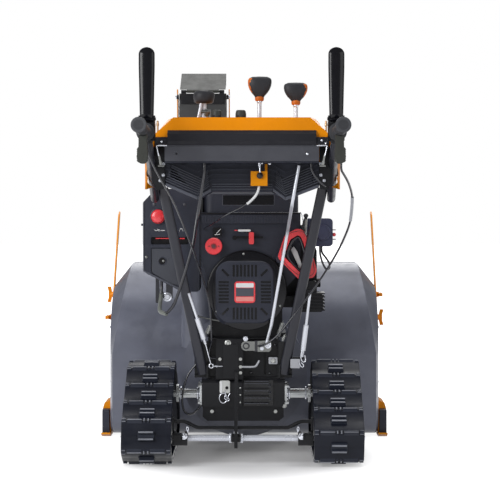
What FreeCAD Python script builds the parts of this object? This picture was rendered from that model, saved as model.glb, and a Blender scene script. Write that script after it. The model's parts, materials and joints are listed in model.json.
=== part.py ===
import FreeCAD, Part
import math
import os

# Tracked two-stage snow blower. Millimetres; +Y is the way it drives, +X its right side, +Z up.
# The origin is on the floor under the drive axle, midway between the tracks.

Vec = FreeCAD.Vector

# ---- clearances -------------------------------------------------------------------------------
RUNNING_GAP = 0.3        # between a shaft and the bore it turns in
SEAT_GAP = 0.3           # between a curved seat and what lies in it
SINK = 3.0               # how far a moulded lug starts below the surface that it stands on

# ---- tracks -----------------------------------------------------------------------------------
BELT_WIDTH = 145.0
TRACK_CENTRE = 279.0     # sideways, from the middle of the machine
BELT_THICK = 10.0
LUG_HEIGHT = 18.0
LUG_PITCH = 72.0         # nominal; the loop holds a whole number of them
LUG_BASE = 28.0
LUG_CREST = 15.0
CENTRE_BLOCK = 44.0      # width of the small block between two lugs
IDLER_R = 62.0           # over the belt
SPROCKET_R = 87.0        # over the belt
REAR_IDLER_Y = -220.0
FRONT_IDLER_Y = 205.0
AXLE_Z = 187.0
IDLER_Z = LUG_HEIGHT + IDLER_R
AXLE_R = 12.0
IDLER_PIN_R = 8.0
FRAME_PLATE = 6.0
FRAME_INSET = 7.0        # from the belt's edge to the frame plate
WHEEL_CLEAR = 6.0        # from a frame plate to a wheel
ROLLER_R = 24.0
ROLLER_YS = (-70.0, 55.0)

# ---- cross rod, link bar, lock bar ------------------------------------------------------------
CROSS_ROD_R = 9.0
LINK_BAR_R = 5.5
LINK_BAR_HIGH = 129.0
LINK_BAR_LOW = 110.0
ROD_BRACKET_IN = 161.0
LOCK_BAR_X = -20.0
LOCK_BAR_W = 10.0

# ---- transmission case and axle tubes ---------------------------------------------------------
CASE_HALF = 125.0
CASE_REAR = -73.0
CASE_FRONT = 150.0
CASE_LOW = 154.0
CASE_TOP = 236.0
PAN_LOW = 110.0
LOUVRES = 4
LOUVRE_PITCH = 21.4
AXLE_TUBE_R = 14.0
DECK_HALF = 106.0
DECK_TOP = 360.0
DECK_RECESS = 12.0

# ---- engine -----------------------------------------------------------------------------------
CRANK_X = 11.0
CRANK_Z = 505.0
ENGINE_REAR = -70.0
ENGINE_FRONT = 146.0
SHROUD_LEFT = -131.0
SHROUD_RIGHT = 172.0
SHROUD_STEP = 738.0
TANK_TOP = 806.0
FAN_RING_R = 118.0
RING_PROUD = 12.0        # how far the fan ring stands out of the shroud
RECOIL_HALF = 93.0
RECOIL_DEPTH = 30.0

# ---- belt cover and impeller drum -------------------------------------------------------------
COVER_REAR = 150.0
DRUM_REAR = 212.0
DRUM_R = 200.0
DRUM_WALL = 3.0
IMPELLER_Z = 225.0
IMPELLER_R = 188.0
IMPELLER_SHAFT_R = 11.0

# ---- auger housing ----------------------------------------------------------------------------
HOUSING_HALF = 440.0
HOUSING_FLAT_HALF = 382.0   # half width of the flat top, inside the bevelled corners
HOUSING_KNEE_HALF = 430.0   # half width of the back sheet at its knee and below
HOUSING_TOP = 565.0
HOUSING_SIDE_TOP = 490.0
HOUSING_REAR = 330.0
HOUSING_SIDE_REAR = 372.0
HOUSING_BOTTOM = 11.0
HOUSING_KNEE_Z = 275.0      # height where the back sheet is upright
HOUSING_BELLY_R = 72.0      # bend from the upright back sheet into the floor sheet
HOUSING_MOUTH = 785.0
HOUSING_LIP = 715.0         # front edge of the floor sheet
SHEET = 3.0
SKID_WIDTH = 30.0
SKID_REAR = 366.0          # rear tip of the shoes
SKID_LENGTH = 264.0
SKID_PAD_TOP = 88.0
CUTTER_THICK = 5.0
CUTTER_LOW = (452.0, 344.0)      # Y and Z of a drift cutter's foot and tip
CUTTER_HIGH = (784.0, 752.0)
CUTTER_KNOBS = ((489.0, 387.0), (549.0, 460.0))
AUGER_Y = 600.0
AUGER_R = 180.0
AUGER_SHAFT_R = 13.0
FLIGHT_WIDTH = 42.0
FLIGHT_THICK = 6.0
FLIGHT_PITCH = 300.0
FLIGHT_START = 66.0         # from the middle, clear of the gearcase
FLIGHT_SPAN = HOUSING_HALF - FLIGHT_START - 22.0
FLIGHT_TEETH = 12           # teeth in one turn of a ribbon
TOOTH_DEPTH = 12.0

# ---- chute ------------------------------------------------------------------------------------
CHUTE_X = -132.0
SPOUT_R = 70.0
CHUTE_Y = DRUM_REAR + SPOUT_R + 2.0
SPOUT_TOP = 596.0
CHUTE_HALF = 75.0
CHUTE_TOP = 1118.0
CHUTE_WALL = 3.0
DEFLECTOR_LENGTH = 140.0
DEFLECTOR_LEAN = 64.0    # from upright, forwards
HINGE_R = 5.0
HINGE_Y = CHUTE_Y - SPOUT_R + 39.0
HINGE_Z = CHUTE_TOP + HINGE_R + 1.0

# ---- handles ----------------------------------------------------------------------------------
BAR_WIDTH = 30.0
BAR_THICK = 16.0
BAR_LOW = (123.0, -62.0, 259.0)
BAR_HIGH = (232.0, -190.0, 802.0)
TUBE_R = 12.5
GRIP_R = 18.5
GRIP_LENGTH = 150.0
TUBE_LEAD = 25.0         # straight tube in front of the grip
GRIP_END = (263.0, -780.5, 962.0)
GRIP_OUTWARD = 3.1       # degrees, the grip's lean
GRIP_UPWARD = 3.8
TUBE_KNEE = (250.0, -520.0, 892.0)
PADDLE_X = 252.0
PADDLE_PIVOT_Y = -620.0
PADDLE_PIVOT_Z = 988.0
PADDLE_TOP = 1173.0
PADDLE_THICK = 5.0
PADDLE_PIN_R = 4.0

# ---- console ----------------------------------------------------------------------------------
CONSOLE_REAR = -530.0
CONSOLE_FRONT = -285.0
CONSOLE_HALF = 230.0
CONSOLE_TOP = 994.0
BAND_TOP = 958.0
BAND_LOW = 922.0
PANEL_LOW = 878.0
PANEL_HALF = 210.0
PANEL_THICK = 5.0
PANEL_HOLE_X = 178.0
PANEL_HOLE_Z = 898.0
PANEL_HOLE_R = 6.5
COVER_WALL = 4.0
TRAY_REAR = -440.0
TRAY_FRONT = -310.0
TRAY_RIB = 5.0
LEVERS = ((48.0, 1087.0, -432.0), (149.0, 1070.0, -432.0))   # X, height and Y of each gear lever's knob
STICK = (-106.0, 1061.0, -432.0)


# ==== shared shapes ============================================================================

def box(x0, x1, y0, y1, z0, z1):
    return Part.makeBox(x1 - x0, y1 - y0, z1 - z0, Vec(x0, y0, z0))


def rod(start, end, radius):
    start, end = Vec(*start), Vec(*end)
    return Part.makeCylinder(radius, (end - start).Length, start, end - start)


def mirrored(shape):
    return shape.mirror(Vec(0, 0, 0), Vec(1, 0, 0))


def both_sides(shape):
    return Part.makeCompound([shape, mirrored(shape)])


def group(shapes):
    solids = []
    for shape in shapes:
        solids.extend(shape.Solids)
    return Part.makeCompound(solids)


def fused(shapes):
    whole = shapes[0].multiFuse(shapes[1:]) if len(shapes) > 1 else shapes[0]
    return whole.removeSplitter()


def bend_wire(points, radii, closed=False):
    """Straight runs through points, joined by tangent arcs; a radius of 0 leaves a sharp corner."""
    count = len(points)
    enter, leave, middle = list(points), list(points), [None] * count
    for i in range(count) if closed else range(1, count - 1):
        here = points[i]
        back = (points[i - 1] - here).normalize()
        ahead = (points[(i + 1) % count] - here).normalize()
        half_turn = (math.pi - back.getAngle(ahead)) / 2
        if radii[i] <= 0 or half_turn < 1e-4:
            continue
        reach = radii[i] * math.tan(half_turn)
        enter[i] = here + back * reach
        leave[i] = here + ahead * reach
        middle[i] = here + (back + ahead).normalize() * (radii[i] / math.cos(half_turn) - radii[i])
    edges = []
    for i in range(count):
        if middle[i] is not None:
            edges.append(Part.Arc(enter[i], middle[i], leave[i]).toShape())
        if i == count - 1 and not closed:
            break
        after = enter[(i + 1) % count]
        if (after - leave[i]).Length > 1e-6:
            edges.append(Part.LineSegment(leave[i], after).toShape())
    return Part.Wire(edges)


def lay(u, v, plane, level):
    return {"YZ": Vec(level, u, v), "XZ": Vec(u, level, v), "XY": Vec(u, v, level)}[plane]


def outline(points, plane, level, corner=0.0):
    """Closed wire in a plane; a point is (u, v) or (u, v, its own corner radius)."""
    places = [lay(p[0], p[1], plane, level) for p in points]
    radii = [p[2] if len(p) > 2 else corner for p in points]
    return bend_wire(places, radii, closed=True)


def prism(points, plane, low, high, corner=0.0):
    along = lay(0, 0, plane, high - low)
    return Part.Face(outline(points, plane, low, corner)).extrude(along)


def block(x0, x1, y0, y1, z0, z1, corner, plane="XZ"):
    """Box whose four edges across a plane are rounded."""
    spans = {"XZ": (x0, x1, z0, z1, y0, y1), "XY": (x0, x1, y0, y1, z0, z1), "YZ": (y0, y1, z0, z1, x0, x1)}
    u0, u1, v0, v1, low, high = spans[plane]
    return prism([(u0, v0), (u1, v0), (u1, v1), (u0, v1)], plane, low, high, corner)


def turned(profile, base, axis, corner=0.0):
    """Solid of revolution; the profile is (radius, height, optional corner) along axis from base."""
    base, axis = Vec(*base), Vec(*axis).normalize()
    side = axis.cross(Vec(1, 0, 0) if abs(axis.x) < 0.9 else Vec(0, 1, 0)).normalize()
    places = [base + side * p[0] + axis * p[1] for p in profile]
    radii = [p[2] if len(p) > 2 else corner for p in profile]
    return Part.Face(bend_wire(places, radii, closed=True)).revolve(base, axis, 360)


def pipe(points, radius, bend):
    """Round rod or hose along straight runs joined by arcs."""
    places = [Vec(*p) for p in points]
    path = bend_wire(places, [bend] * len(places))
    start = Part.Wire(Part.makeCircle(radius, places[0], places[1] - places[0]))
    return Part.Solid(path.makePipeShell([start], True, False))


def cord(name, points, radius):
    """Hose or cable whose arcs are as large as its runs allow; its smallest radius is printed."""
    places = [Vec(*p) for p in points]
    radii = [0.0] * len(places)
    for i in range(1, len(places) - 1):
        back, ahead = places[i - 1] - places[i], places[i + 1] - places[i]
        half_turn = (math.pi - back.getAngle(ahead)) / 2
        radii[i] = 0.45 * min(back.Length, ahead.Length) / math.tan(half_turn)
    path = bend_wire(places, radii)
    start = Part.Wire(Part.makeCircle(radius, places[0], places[1] - places[0]))
    print(name, "length", round(path.Length), "smallest radius", round(min(radii[1:-1])))
    return Part.Solid(path.makePipeShell([start], True, False))


def bolt(place, axis, radius, height):
    """Hexagon head standing on a face."""
    place, axis = Vec(*place), Vec(*axis).normalize()
    side = axis.cross(Vec(0, 0, 1) if abs(axis.z) < 0.9 else Vec(1, 0, 0)).normalize()
    other = axis.cross(side)
    turns = [math.radians(60 * i) for i in range(6)]
    corners = [place + side * (radius * math.cos(t)) + other * (radius * math.sin(t)) for t in turns]
    return Part.Face(Part.makePolygon(corners + corners[:1])).extrude(axis * height)


def flat_bar(start, end, width, thick, ends=0.0):
    """Flat-oval bar whose wide faces look backwards; its width lies across the machine."""
    start, end = Vec(*start), Vec(*end)
    along = (end - start).normalize()
    start, end = start - along * ends, end + along * ends
    across = Vec(1, 0, 0) - along * along.x
    across.normalize()
    deep = along.cross(across)
    half, radius = (width - thick) / 2, thick / 2
    corners = [start + across * (half * i) + deep * (radius * j)
               for i, j in ((-1, -1), (1, -1), (1, 1), (-1, 1))]
    edges = [Part.LineSegment(corners[0], corners[1]).toShape(),
             Part.Arc(corners[1], start + across * (half + radius), corners[2]).toShape(),
             Part.LineSegment(corners[2], corners[3]).toShape(),
             Part.Arc(corners[3], start - across * (half + radius), corners[0]).toShape()]
    return Part.Face(Part.Wire(edges)).extrude(end - start)


def along_line(start, end, share):
    return tuple(a + (b - a) * share for a, b in zip(start, end))


# ==== tracks and what they carry ===============================================================

def loop_circles(change):
    """The three circles that the belt runs round, with their radii changed."""
    return [(REAR_IDLER_Y, IDLER_Z, IDLER_R + change),
            (FRONT_IDLER_Y, IDLER_Z, IDLER_R + change),
            (0.0, AXLE_Z, SPROCKET_R + change)]


def loop_wire(circles, x):
    """Closed wire of arcs and common tangents round circles in the YZ plane."""
    count = len(circles)
    runs = []
    for i in range(count):
        (y0, z0, r0), (y1, z1, r1) = circles[i], circles[(i + 1) % count]
        along = Vec(0, y1 - y0, z1 - z0)
        lean = (r0 - r1) / along.Length
        along.normalize()
        normal = along * lean + Vec(0, along.z, -along.y) * math.sqrt(1 - lean * lean)
        runs.append((Vec(x, y0, z0) + normal * r0, Vec(x, y1, z1) + normal * r1, normal))
    edges = []
    for i in range(count):
        start, end, normal = runs[i]
        after_start, _, after_normal = runs[(i + 1) % count]
        y, z, radius = circles[(i + 1) % count]
        top = Vec(x, y, z) + (normal + after_normal).normalize() * radius
        edges.append(Part.LineSegment(start, end).toShape())
        edges.append(Part.Arc(end, top, after_start).toShape())
    return Part.Wire(edges)


def lug(place, outward, x0, x1, base, crest, height):
    """Tapered rubber bar across the belt, standing out along outward."""
    along = Vec(0, -outward.z, outward.y)
    low, high = place - outward * SINK, place + outward * height
    corners = [low - along * (base / 2), low + along * (base / 2),
               high + along * (crest / 2), high - along * (crest / 2)]
    for corner in corners:
        corner.x = x0
    return Part.Face(Part.makePolygon(corners + corners[:1])).extrude(Vec(x1 - x0, 0, 0))


def track():
    """Right-hand belt with its lugs, one closed loop."""
    inner, outer = TRACK_CENTRE - BELT_WIDTH / 2, TRACK_CENTRE + BELT_WIDTH / 2
    wire = loop_wire(loop_circles(0), inner)
    ring = Part.Face([wire, loop_wire(loop_circles(-BELT_THICK), inner)])
    ring.validate()
    pieces = [ring.extrude(Vec(BELT_WIDTH, 0, 0))]
    pitches = round(wire.Length / LUG_PITCH)
    steps = 20
    points = wire.discretize(Number=2 * pitches * steps + 1)
    for i in range(2 * pitches):
        at = i * steps
        tangent = (points[at + 1] - points[at - 1 if at else -2]).normalize()
        outward = Vec(0, tangent.z, -tangent.y)
        if i % 2 == 0:
            pieces.append(lug(points[at], outward, inner, outer, LUG_BASE, LUG_CREST, LUG_HEIGHT))
        else:
            half = CENTRE_BLOCK / 2
            pieces.append(lug(points[at], outward, TRACK_CENTRE - half, TRACK_CENTRE + half,
                              LUG_CREST + 4, LUG_CREST, LUG_HEIGHT * 0.6))
    return fused(pieces)


def frame_plate_xs():
    """Where the two side plates of the right-hand track frame stand."""
    inner = TRACK_CENTRE - BELT_WIDTH / 2 + FRAME_INSET
    outer = TRACK_CENTRE + BELT_WIDTH / 2 - FRAME_INSET - FRAME_PLATE
    return inner, outer


def track_frame():
    inner, outer = frame_plate_xs()
    ends = [(REAR_IDLER_Y, IDLER_Z, 30.0), (FRONT_IDLER_Y, IDLER_Z, 30.0), (0.0, AXLE_Z, 40.0)]
    plates = []
    for x in (inner, outer):
        plate = Part.Face(loop_wire(ends, x)).extrude(Vec(FRAME_PLATE, 0, 0))
        bore = rod((x - 1, 0, AXLE_Z), (x + FRAME_PLATE + 1, 0, AXLE_Z), AXLE_R + RUNNING_GAP)
        plates.append(plate.cut(bore))
    return group(plates)


def roller_z():
    return LUG_HEIGHT + BELT_THICK + SEAT_GAP + ROLLER_R


def wheel(y, z, radius, hub):
    """Idler dished on its outer side; its stub shafts end on the frame's plates."""
    x0, x1 = wheel_xs()
    width, rim, stub = x1 - x0, 8.0, WHEEL_CLEAR
    middle = width / 2
    profile = [(0, -stub), (IDLER_PIN_R, -stub), (IDLER_PIN_R, 0), (radius, 0), (radius, width),
               (radius - rim, width),
               (radius - rim, middle), (hub, middle), (hub, width), (IDLER_PIN_R, width), (IDLER_PIN_R,
                                                                                           width + stub),
               (0, width + stub)]
    return turned(profile, (x0, y, z), (1, 0, 0))


def roller(y):
    """Small plain roller on the ground run."""
    x0, x1 = wheel_xs()
    pin = IDLER_PIN_R * 0.75
    profile = [(0, -WHEEL_CLEAR), (pin, -WHEEL_CLEAR), (pin, 0), (ROLLER_R, 0), (ROLLER_R, x1 - x0),
               (pin, x1 - x0),
               (pin, x1 - x0 + WHEEL_CLEAR), (0, x1 - x0 + WHEEL_CLEAR)]
    return turned(profile, (x0, y, roller_z()), (1, 0, 0))


def wheel_xs():
    """Where the wheels of the right-hand track begin and end."""
    inner, outer = frame_plate_xs()
    return inner + FRAME_PLATE + WHEEL_CLEAR, outer - WHEEL_CLEAR


def idlers():
    radius = IDLER_R - BELT_THICK - SEAT_GAP
    return group([wheel(y, IDLER_Z, radius, 18.0) for y in (REAR_IDLER_Y, FRONT_IDLER_Y)]
                 + [roller(y) for y in ROLLER_YS])


def sprocket():
    """Drive wheel: two toothed discs on one hub."""
    x0, x1 = wheel_xs()
    tip, teeth, disc = SPROCKET_R - BELT_THICK - SEAT_GAP, 12, 12.0
    root = tip - 14
    outline_points = []
    for i in range(teeth):
        for share, radius in ((-0.32, root), (-0.18, tip), (0.18, tip), (0.32, root)):
            turn = 2 * math.pi * (i + share) / teeth
            outline_points.append((radius * math.cos(turn), AXLE_Z + radius * math.sin(turn)))
    discs = [prism(outline_points, "YZ", x, x + disc) for x in (x0 + 14, x1 - 14 - disc)]
    hub = rod((x0, 0, AXLE_Z), (x1, 0, AXLE_Z), 30.0)
    bore = rod((x0 - 1, 0, AXLE_Z), (x1 + 1, 0, AXLE_Z), AXLE_R + RUNNING_GAP)
    return fused(discs + [hub]).cut(bore)


def cross_rod():
    inner = frame_plate_xs()[0]
    piece = rod((-ROD_BRACKET_IN, REAR_IDLER_Y, IDLER_Z), (ROD_BRACKET_IN, REAR_IDLER_Y, IDLER_Z),
                CROSS_ROD_R)
    sleeves = [rod((s * ROD_BRACKET_IN, REAR_IDLER_Y, IDLER_Z), (s * inner, REAR_IDLER_Y, IDLER_Z),
                   IDLER_PIN_R)
               for s in (-1, 1)]
    return fused([piece] + sleeves)


def rod_brackets():
    """Clevis that ties each end of the cross rod to its track frame, with an ear for the link bar."""
    outer = TRACK_CENTRE - BELT_WIDTH / 2 - 1
    y0, y1 = REAR_IDLER_Y - 20, REAR_IDLER_Y + 20
    body = block(ROD_BRACKET_IN, outer, y0, y1, IDLER_Z - 21, IDLER_Z + 18, 8.0, "YZ")
    ear = block(outer - 6, outer, y0 + 6, y1 - 6, IDLER_Z + 20, LINK_BAR_HIGH + 12, 6.0, "YZ")
    slot = box(ROD_BRACKET_IN + 9, outer - 12, y0 - 1, y1 + 1, IDLER_Z + 13, IDLER_Z + 19)
    bore = rod((0, REAR_IDLER_Y, IDLER_Z), (outer + 1, REAR_IDLER_Y, IDLER_Z), IDLER_PIN_R + 0.1)
    return fused([body, ear]).cut(slot).cut(bore)


def link_bar():
    ear = TRACK_CENTRE - BELT_WIDTH / 2 - 7 - SEAT_GAP
    y = REAR_IDLER_Y
    points = [(-ear, y, LINK_BAR_HIGH), (30 - ear, y, LINK_BAR_HIGH), (-134, y, LINK_BAR_LOW),
              (134, y, LINK_BAR_LOW), (ear - 30, y, LINK_BAR_HIGH), (ear, y, LINK_BAR_HIGH)]
    return pipe(points, LINK_BAR_R, 40.0)


def lock_bar():
    """Flat bar clamped on the cross rod; its upper end stands free behind the case."""
    x0, x1 = LOCK_BAR_X - LOCK_BAR_W / 2, LOCK_BAR_X + LOCK_BAR_W / 2
    foot_y = REAR_IDLER_Y - CROSS_ROD_R - 8
    side = [(foot_y - 6, 52), (foot_y + 6, 52), (foot_y + 6, 106), (-98, 262), (-112, 262), (foot_y - 6, 110)]
    bar = prism(side, "YZ", x0, x1, 3.0)
    clamp = block(LOCK_BAR_X - 14, LOCK_BAR_X + 14, REAR_IDLER_Y - 17, REAR_IDLER_Y + 13,
                  IDLER_Z - 11, IDLER_Z + 11, 6.0, "YZ")
    hole = rod((x0 - 20, REAR_IDLER_Y, IDLER_Z), (x1 + 20, REAR_IDLER_Y, IDLER_Z), CROSS_ROD_R + SEAT_GAP)
    return fused([bar, clamp]).cut(hole)


# ==== transmission, axle and frame =============================================================

def transmission_case():
    low, high = CASE_LOW, CASE_TOP
    profile = [(CASE_REAR, low), (CASE_FRONT, low), (CASE_FRONT, high), (CASE_REAR + 10, high),
               (CASE_REAR, high - 10)]
    body = prism(profile, "YZ", -CASE_HALF, CASE_HALF)
    bore = rod((-CASE_HALF - 1, 0, AXLE_Z), (CASE_HALF + 1, 0, AXLE_Z), AXLE_TUBE_R + 2)
    return body.cut(bore)


def case_pan():
    half, top = CASE_HALF - 3, CASE_LOW - 3
    profile = [(-half, top), (-half, PAN_LOW + 12), (-half + 14, PAN_LOW), (half - 14, PAN_LOW),
               (half, PAN_LOW + 12), (half, top)]
    body = prism(profile, "XZ", CASE_REAR + 8, CASE_FRONT - 10)
    lip = box(-half, half, CASE_REAR + 2, CASE_FRONT - 4, top, CASE_LOW)
    return fused([body, lip])


def louvre_cover():
    """Cover on the right half of the case's rear face, with four long louvres."""
    x0, x1, low = 2.0, 90.0, CASE_LOW + 3
    plate = box(x0, x1, CASE_REAR - 3, CASE_REAR, low, CASE_TOP - 2)
    ribs = []
    for i in range(LOUVRES):
        crest = low + 9.5 + LOUVRE_PITCH * i
        profile = [(CASE_REAR - 3, crest - 9), (CASE_REAR - 3, crest + 2), (CASE_REAR - 8, crest)]
        ribs.append(prism(profile, "YZ", x0 + 1, x1 - 13))
    return fused([plate] + ribs)


def axle():
    """Drive axle in its plated tubes, with a flange on the case and one at each track."""
    end = frame_plate_xs()[1] + FRAME_PLATE + 6
    hub = TRACK_CENTRE - BELT_WIDTH / 2 - 2
    pieces = [rod((-end, 0, AXLE_Z), (end, 0, AXLE_Z), AXLE_R)]
    for s in (-1, 1):
        pieces.append(rod((s * (CASE_HALF - 20), 0, AXLE_Z), (s * hub, 0, AXLE_Z), AXLE_TUBE_R))
        pieces.append(rod((s * (hub - 8), 0, AXLE_Z), (s * hub, 0, AXLE_Z), AXLE_TUBE_R + 14))
        x0, x1 = sorted((s * CASE_HALF, s * (CASE_HALF + 7)))
        pieces.append(block(x0, x1, -36, 36, AXLE_Z - 34, AXLE_Z + 36, 10.0, "YZ"))
        for y, z in ((-26, -24), (26, -24), (-26, 26), (26, 26)):
            pieces.append(bolt((s * (CASE_HALF + 7), y, AXLE_Z + z), (s, 0, 0), 7.0, 6.0))
    return fused(pieces)


def engine_deck():
    """Block of the folded frame between the case and the engine, with its recessed and slotted back."""
    wall, low, rear = 4.0, CASE_TOP, CASE_REAR + 18
    outer = box(-DECK_HALF, DECK_HALF, rear, COVER_REAR, low, DECK_TOP)
    recess = box(-DECK_HALF + wall, DECK_HALF - wall, rear - 1, rear + DECK_RECESS, low + wall,
                 DECK_TOP - wall)
    slot = block(62, 69, rear, rear + DECK_RECESS + 10, low + 12, low + 78, 3.4)
    return outer.cut(recess).cut(slot)


def shift_bracket():
    """Upright bracket behind the deck with its raised middle, which carries the speed control."""
    x0, x1 = -82, 0
    plate = block(x0, x1, CASE_REAR - 8, CASE_REAR - 3, CASE_TOP + 2, DECK_TOP - 2, 5.0)
    middle = block(-60, -15, CASE_REAR - 11, CASE_REAR - 7, CASE_TOP + 5, DECK_TOP - 18, 3.0)
    foot = box(x0, x1, CASE_REAR - 4, CASE_REAR + 18, DECK_TOP - 30, DECK_TOP - 26)
    base = box(x0, x1, CASE_REAR - 4, CASE_REAR + 12, CASE_TOP, CASE_TOP + 6)
    return fused([plate, middle, foot, base])


def shift_arm():
    """Plated arm that the speed rod turns."""
    y = CASE_REAR - 14
    profile = [(-6, 323), (84, 320), (84, 356), (40, 352), (-6, 354)]
    arm = prism(profile, "XZ", y, y + 5, 6.0)
    pivot = rod((8, y - 5, 338), (8, CASE_REAR + 18 + DECK_RECESS, 338), 6.5)
    return fused([arm, pivot])


def case_bolts():
    """Plated screws and the small hitch plates on the rear of the case."""
    y = CASE_REAR
    pieces = [bolt((x, y + 8, PAN_LOW + 29), (0, -1, 0), 5.8, 6.0) for x in (-94, 97)]
    places = ((-70, 298), (-8, 298), (-8, 275), (-8, 257))
    pieces += [bolt((x, y - 8, z), (0, -1, 0), 5.2, 5.0) for x, z in places]
    hitch = block(-71, -40, y - 6, y, 195, 233, 5.0)
    hole = rod((-49, y - 8, 211), (-49, y + 2, 211), 5.0)
    pieces.append(hitch.cut(hole))
    return group(pieces)


# ==== belt cover, drum and auger housing =======================================================

def hull_xz(low, high, y0, y1):
    """Prism whose outline is two circles joined by their common tangents."""
    (x0, z0, r0), (x1, z1, r1) = low, high
    along = Vec(x1 - x0, 0, z1 - z0)
    lean = (r0 - r1) / along.Length
    along.normalize()
    rise = math.sqrt(1 - lean * lean)
    sides = [along * lean + Vec(along.z, 0, -along.x) * (rise * s) for s in (1, -1)]
    foot, head = Vec(x0, y0, z0), Vec(x1, y0, z1)
    a, b = foot + sides[0] * r0, head + sides[0] * r1
    c, d = head + sides[1] * r1, foot + sides[1] * r0
    edges = [Part.LineSegment(a, b).toShape(), Part.Arc(b, head + along * r1, c).toShape(),
             Part.LineSegment(c, d).toShape(), Part.Arc(d, foot - along * r0, a).toShape()]
    return Part.Face(Part.Wire(edges)).extrude(Vec(0, y1 - y0, 0))


def belt_cover():
    """Cover over the pulleys, between the engine and the drum."""
    low = (0.0, IMPELLER_Z + 15, 118.0)
    body = hull_xz(low, (CRANK_X, CRANK_Z, 96.0), COVER_REAR, DRUM_REAR)
    rim = [edge for edge in body.Edges if all(v.Point.y < COVER_REAR + 1 for v in edge.Vertexes)]
    body = body.makeChamfer(10.0, rim)
    bore = rod((0, COVER_REAR + 20, IMPELLER_Z), (0, DRUM_REAR + 1, IMPELLER_Z),
               IMPELLER_SHAFT_R + RUNNING_GAP)
    return body.cut(bore)


def housing_back(half, knee_half, inset, rear, top, front):
    """Outline above the knee; its plane leans from knee_half at the knee in to half at the top."""
    knee, top, rear = HOUSING_KNEE_Z, top - inset, rear + inset
    rise, diagonal = top - knee, math.sqrt(0.5)

    def point(y, z):
        return Vec(knee_half + (half - knee_half) * (z - knee) / rise, y, z)

    low, crown = point(rear, knee), point(rear + rise, top)
    mid = point(rear + rise * (1 - diagonal), knee + rise * diagonal)
    ends = [crown, point(front - 25, top), point(front, top - 30), point(front, knee), low]
    return Part.Wire([Part.Arc(low, mid, crown).toShape()] + straight(ends))


def housing_belly(half, inset, rear, front, lip):
    """Upright outline below the knee, with the floor sheet's edge at lip."""
    knee, bottom, rear = HOUSING_KNEE_Z, HOUSING_BOTTOM + inset, rear + inset
    bend, diagonal = HOUSING_BELLY_R - inset, math.sqrt(0.5)
    high, turn = Vec(half, rear, knee), Vec(half, rear, bottom + bend)
    low = Vec(half, rear + bend, bottom)
    mid = Vec(half, rear + bend * (1 - diagonal), bottom + bend * (1 - diagonal))
    ends = [low, Vec(half, lip, bottom), Vec(half, front, knee), high, turn]
    return Part.Wire([Part.Arc(turn, mid, low).toShape()] + straight(ends))


def straight(points):
    return [Part.LineSegment(a, b).toShape() for a, b in zip(points, points[1:])]


def housing_form(inset, front, lip):
    """Solid of the housing's outer shape, or of its inside when inset is the sheet's thickness."""
    flat, knee, side = HOUSING_FLAT_HALF, HOUSING_KNEE_HALF, HOUSING_HALF - inset
    rows = []
    for s in (-1, 1):
        rows.append([housing_back(s * flat, s * knee, inset, HOUSING_REAR, HOUSING_TOP, front),
                     housing_back(s * side, s * side, inset, HOUSING_SIDE_REAR, HOUSING_SIDE_TOP, front)])
        rows.append([housing_belly(s * knee, inset, HOUSING_REAR, front, lip),
                     housing_belly(s * side, inset, HOUSING_SIDE_REAR, front, lip)])
    rows += [[rows[0][0], rows[2][0]], [rows[1][0], rows[3][0]]]
    pieces = [Part.makeLoft(row, True, True) for row in rows]
    return pieces[0].multiFuse(pieces[1:]).removeSplitter()


def drum_space():
    return rod((0, DRUM_REAR + DRUM_WALL, IMPELLER_Z), (0, AUGER_Y, IMPELLER_Z), DRUM_R - DRUM_WALL)


def auger_housing():
    """Open-fronted steel housing with bevelled rear corners and the drum's mouth in its back."""
    shell = housing_form(0, HOUSING_MOUTH, HOUSING_LIP)
    shell = shell.cut(housing_form(SHEET, HOUSING_MOUTH + 60, HOUSING_LIP + 60))
    shell = shell.cut(drum_space())
    shaft = rod((-HOUSING_HALF - 1, AUGER_Y, IMPELLER_Z), (HOUSING_HALF + 1, AUGER_Y, IMPELLER_Z),
                AUGER_SHAFT_R + 4)
    return shell.cut(shaft)


def impeller_drum():
    """Drum welded to the housing's back, with the spout that throws the snow up into the chute."""
    low = IMPELLER_Z + DRUM_R * 0.4
    axis_low, axis_top = (CHUTE_X, CHUTE_Y, low), (CHUTE_X, CHUTE_Y, SPOUT_TOP)
    solid = rod((0, DRUM_REAR, IMPELLER_Z), (0, AUGER_Y - 20, IMPELLER_Z), DRUM_R)
    solid = solid.fuse(rod(axis_low, axis_top, SPOUT_R))
    solid = solid.fuse(rod((CHUTE_X, CHUTE_Y, SPOUT_TOP - 8), axis_top, SPOUT_R + 14))
    space = drum_space().fuse(rod(axis_low, (CHUTE_X, CHUTE_Y, SPOUT_TOP + 1), SPOUT_R - DRUM_WALL))
    shaft = rod((0, DRUM_REAR - 1, IMPELLER_Z), (0, DRUM_REAR + 9, IMPELLER_Z),
                IMPELLER_SHAFT_R + RUNNING_GAP)
    body = solid.cut(space).cut(shaft).cut(housing_form(0, HOUSING_MOUTH, HOUSING_LIP))
    return max(body.Solids, key=lambda solid: solid.Volume)


def scraper_bar():
    """Replaceable steel strip under the floor sheet's front edge."""
    half = HOUSING_HALF - 12
    return box(-half, half, HOUSING_LIP - 62, HOUSING_LIP + 6, HOUSING_BOTTOM - 6, HOUSING_BOTTOM)


def auger_bearings():
    """Flanged bearings outside the side sheets, and the gearcase between the two auger halves."""
    bore = rod((-HOUSING_HALF - 20, AUGER_Y, IMPELLER_Z), (HOUSING_HALF + 20, AUGER_Y, IMPELLER_Z),
               AUGER_SHAFT_R + RUNNING_GAP)
    pieces = []
    for s in (-1, 1):
        face = s * HOUSING_HALF
        profile = [(0, 0), (42, 0), (42, 4), (24, 8), (24, 14), (0, 14)]
        pieces.append(turned(profile, (face, AUGER_Y, IMPELLER_Z), (s, 0, 0)).cut(bore))
    return group(pieces)


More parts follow.
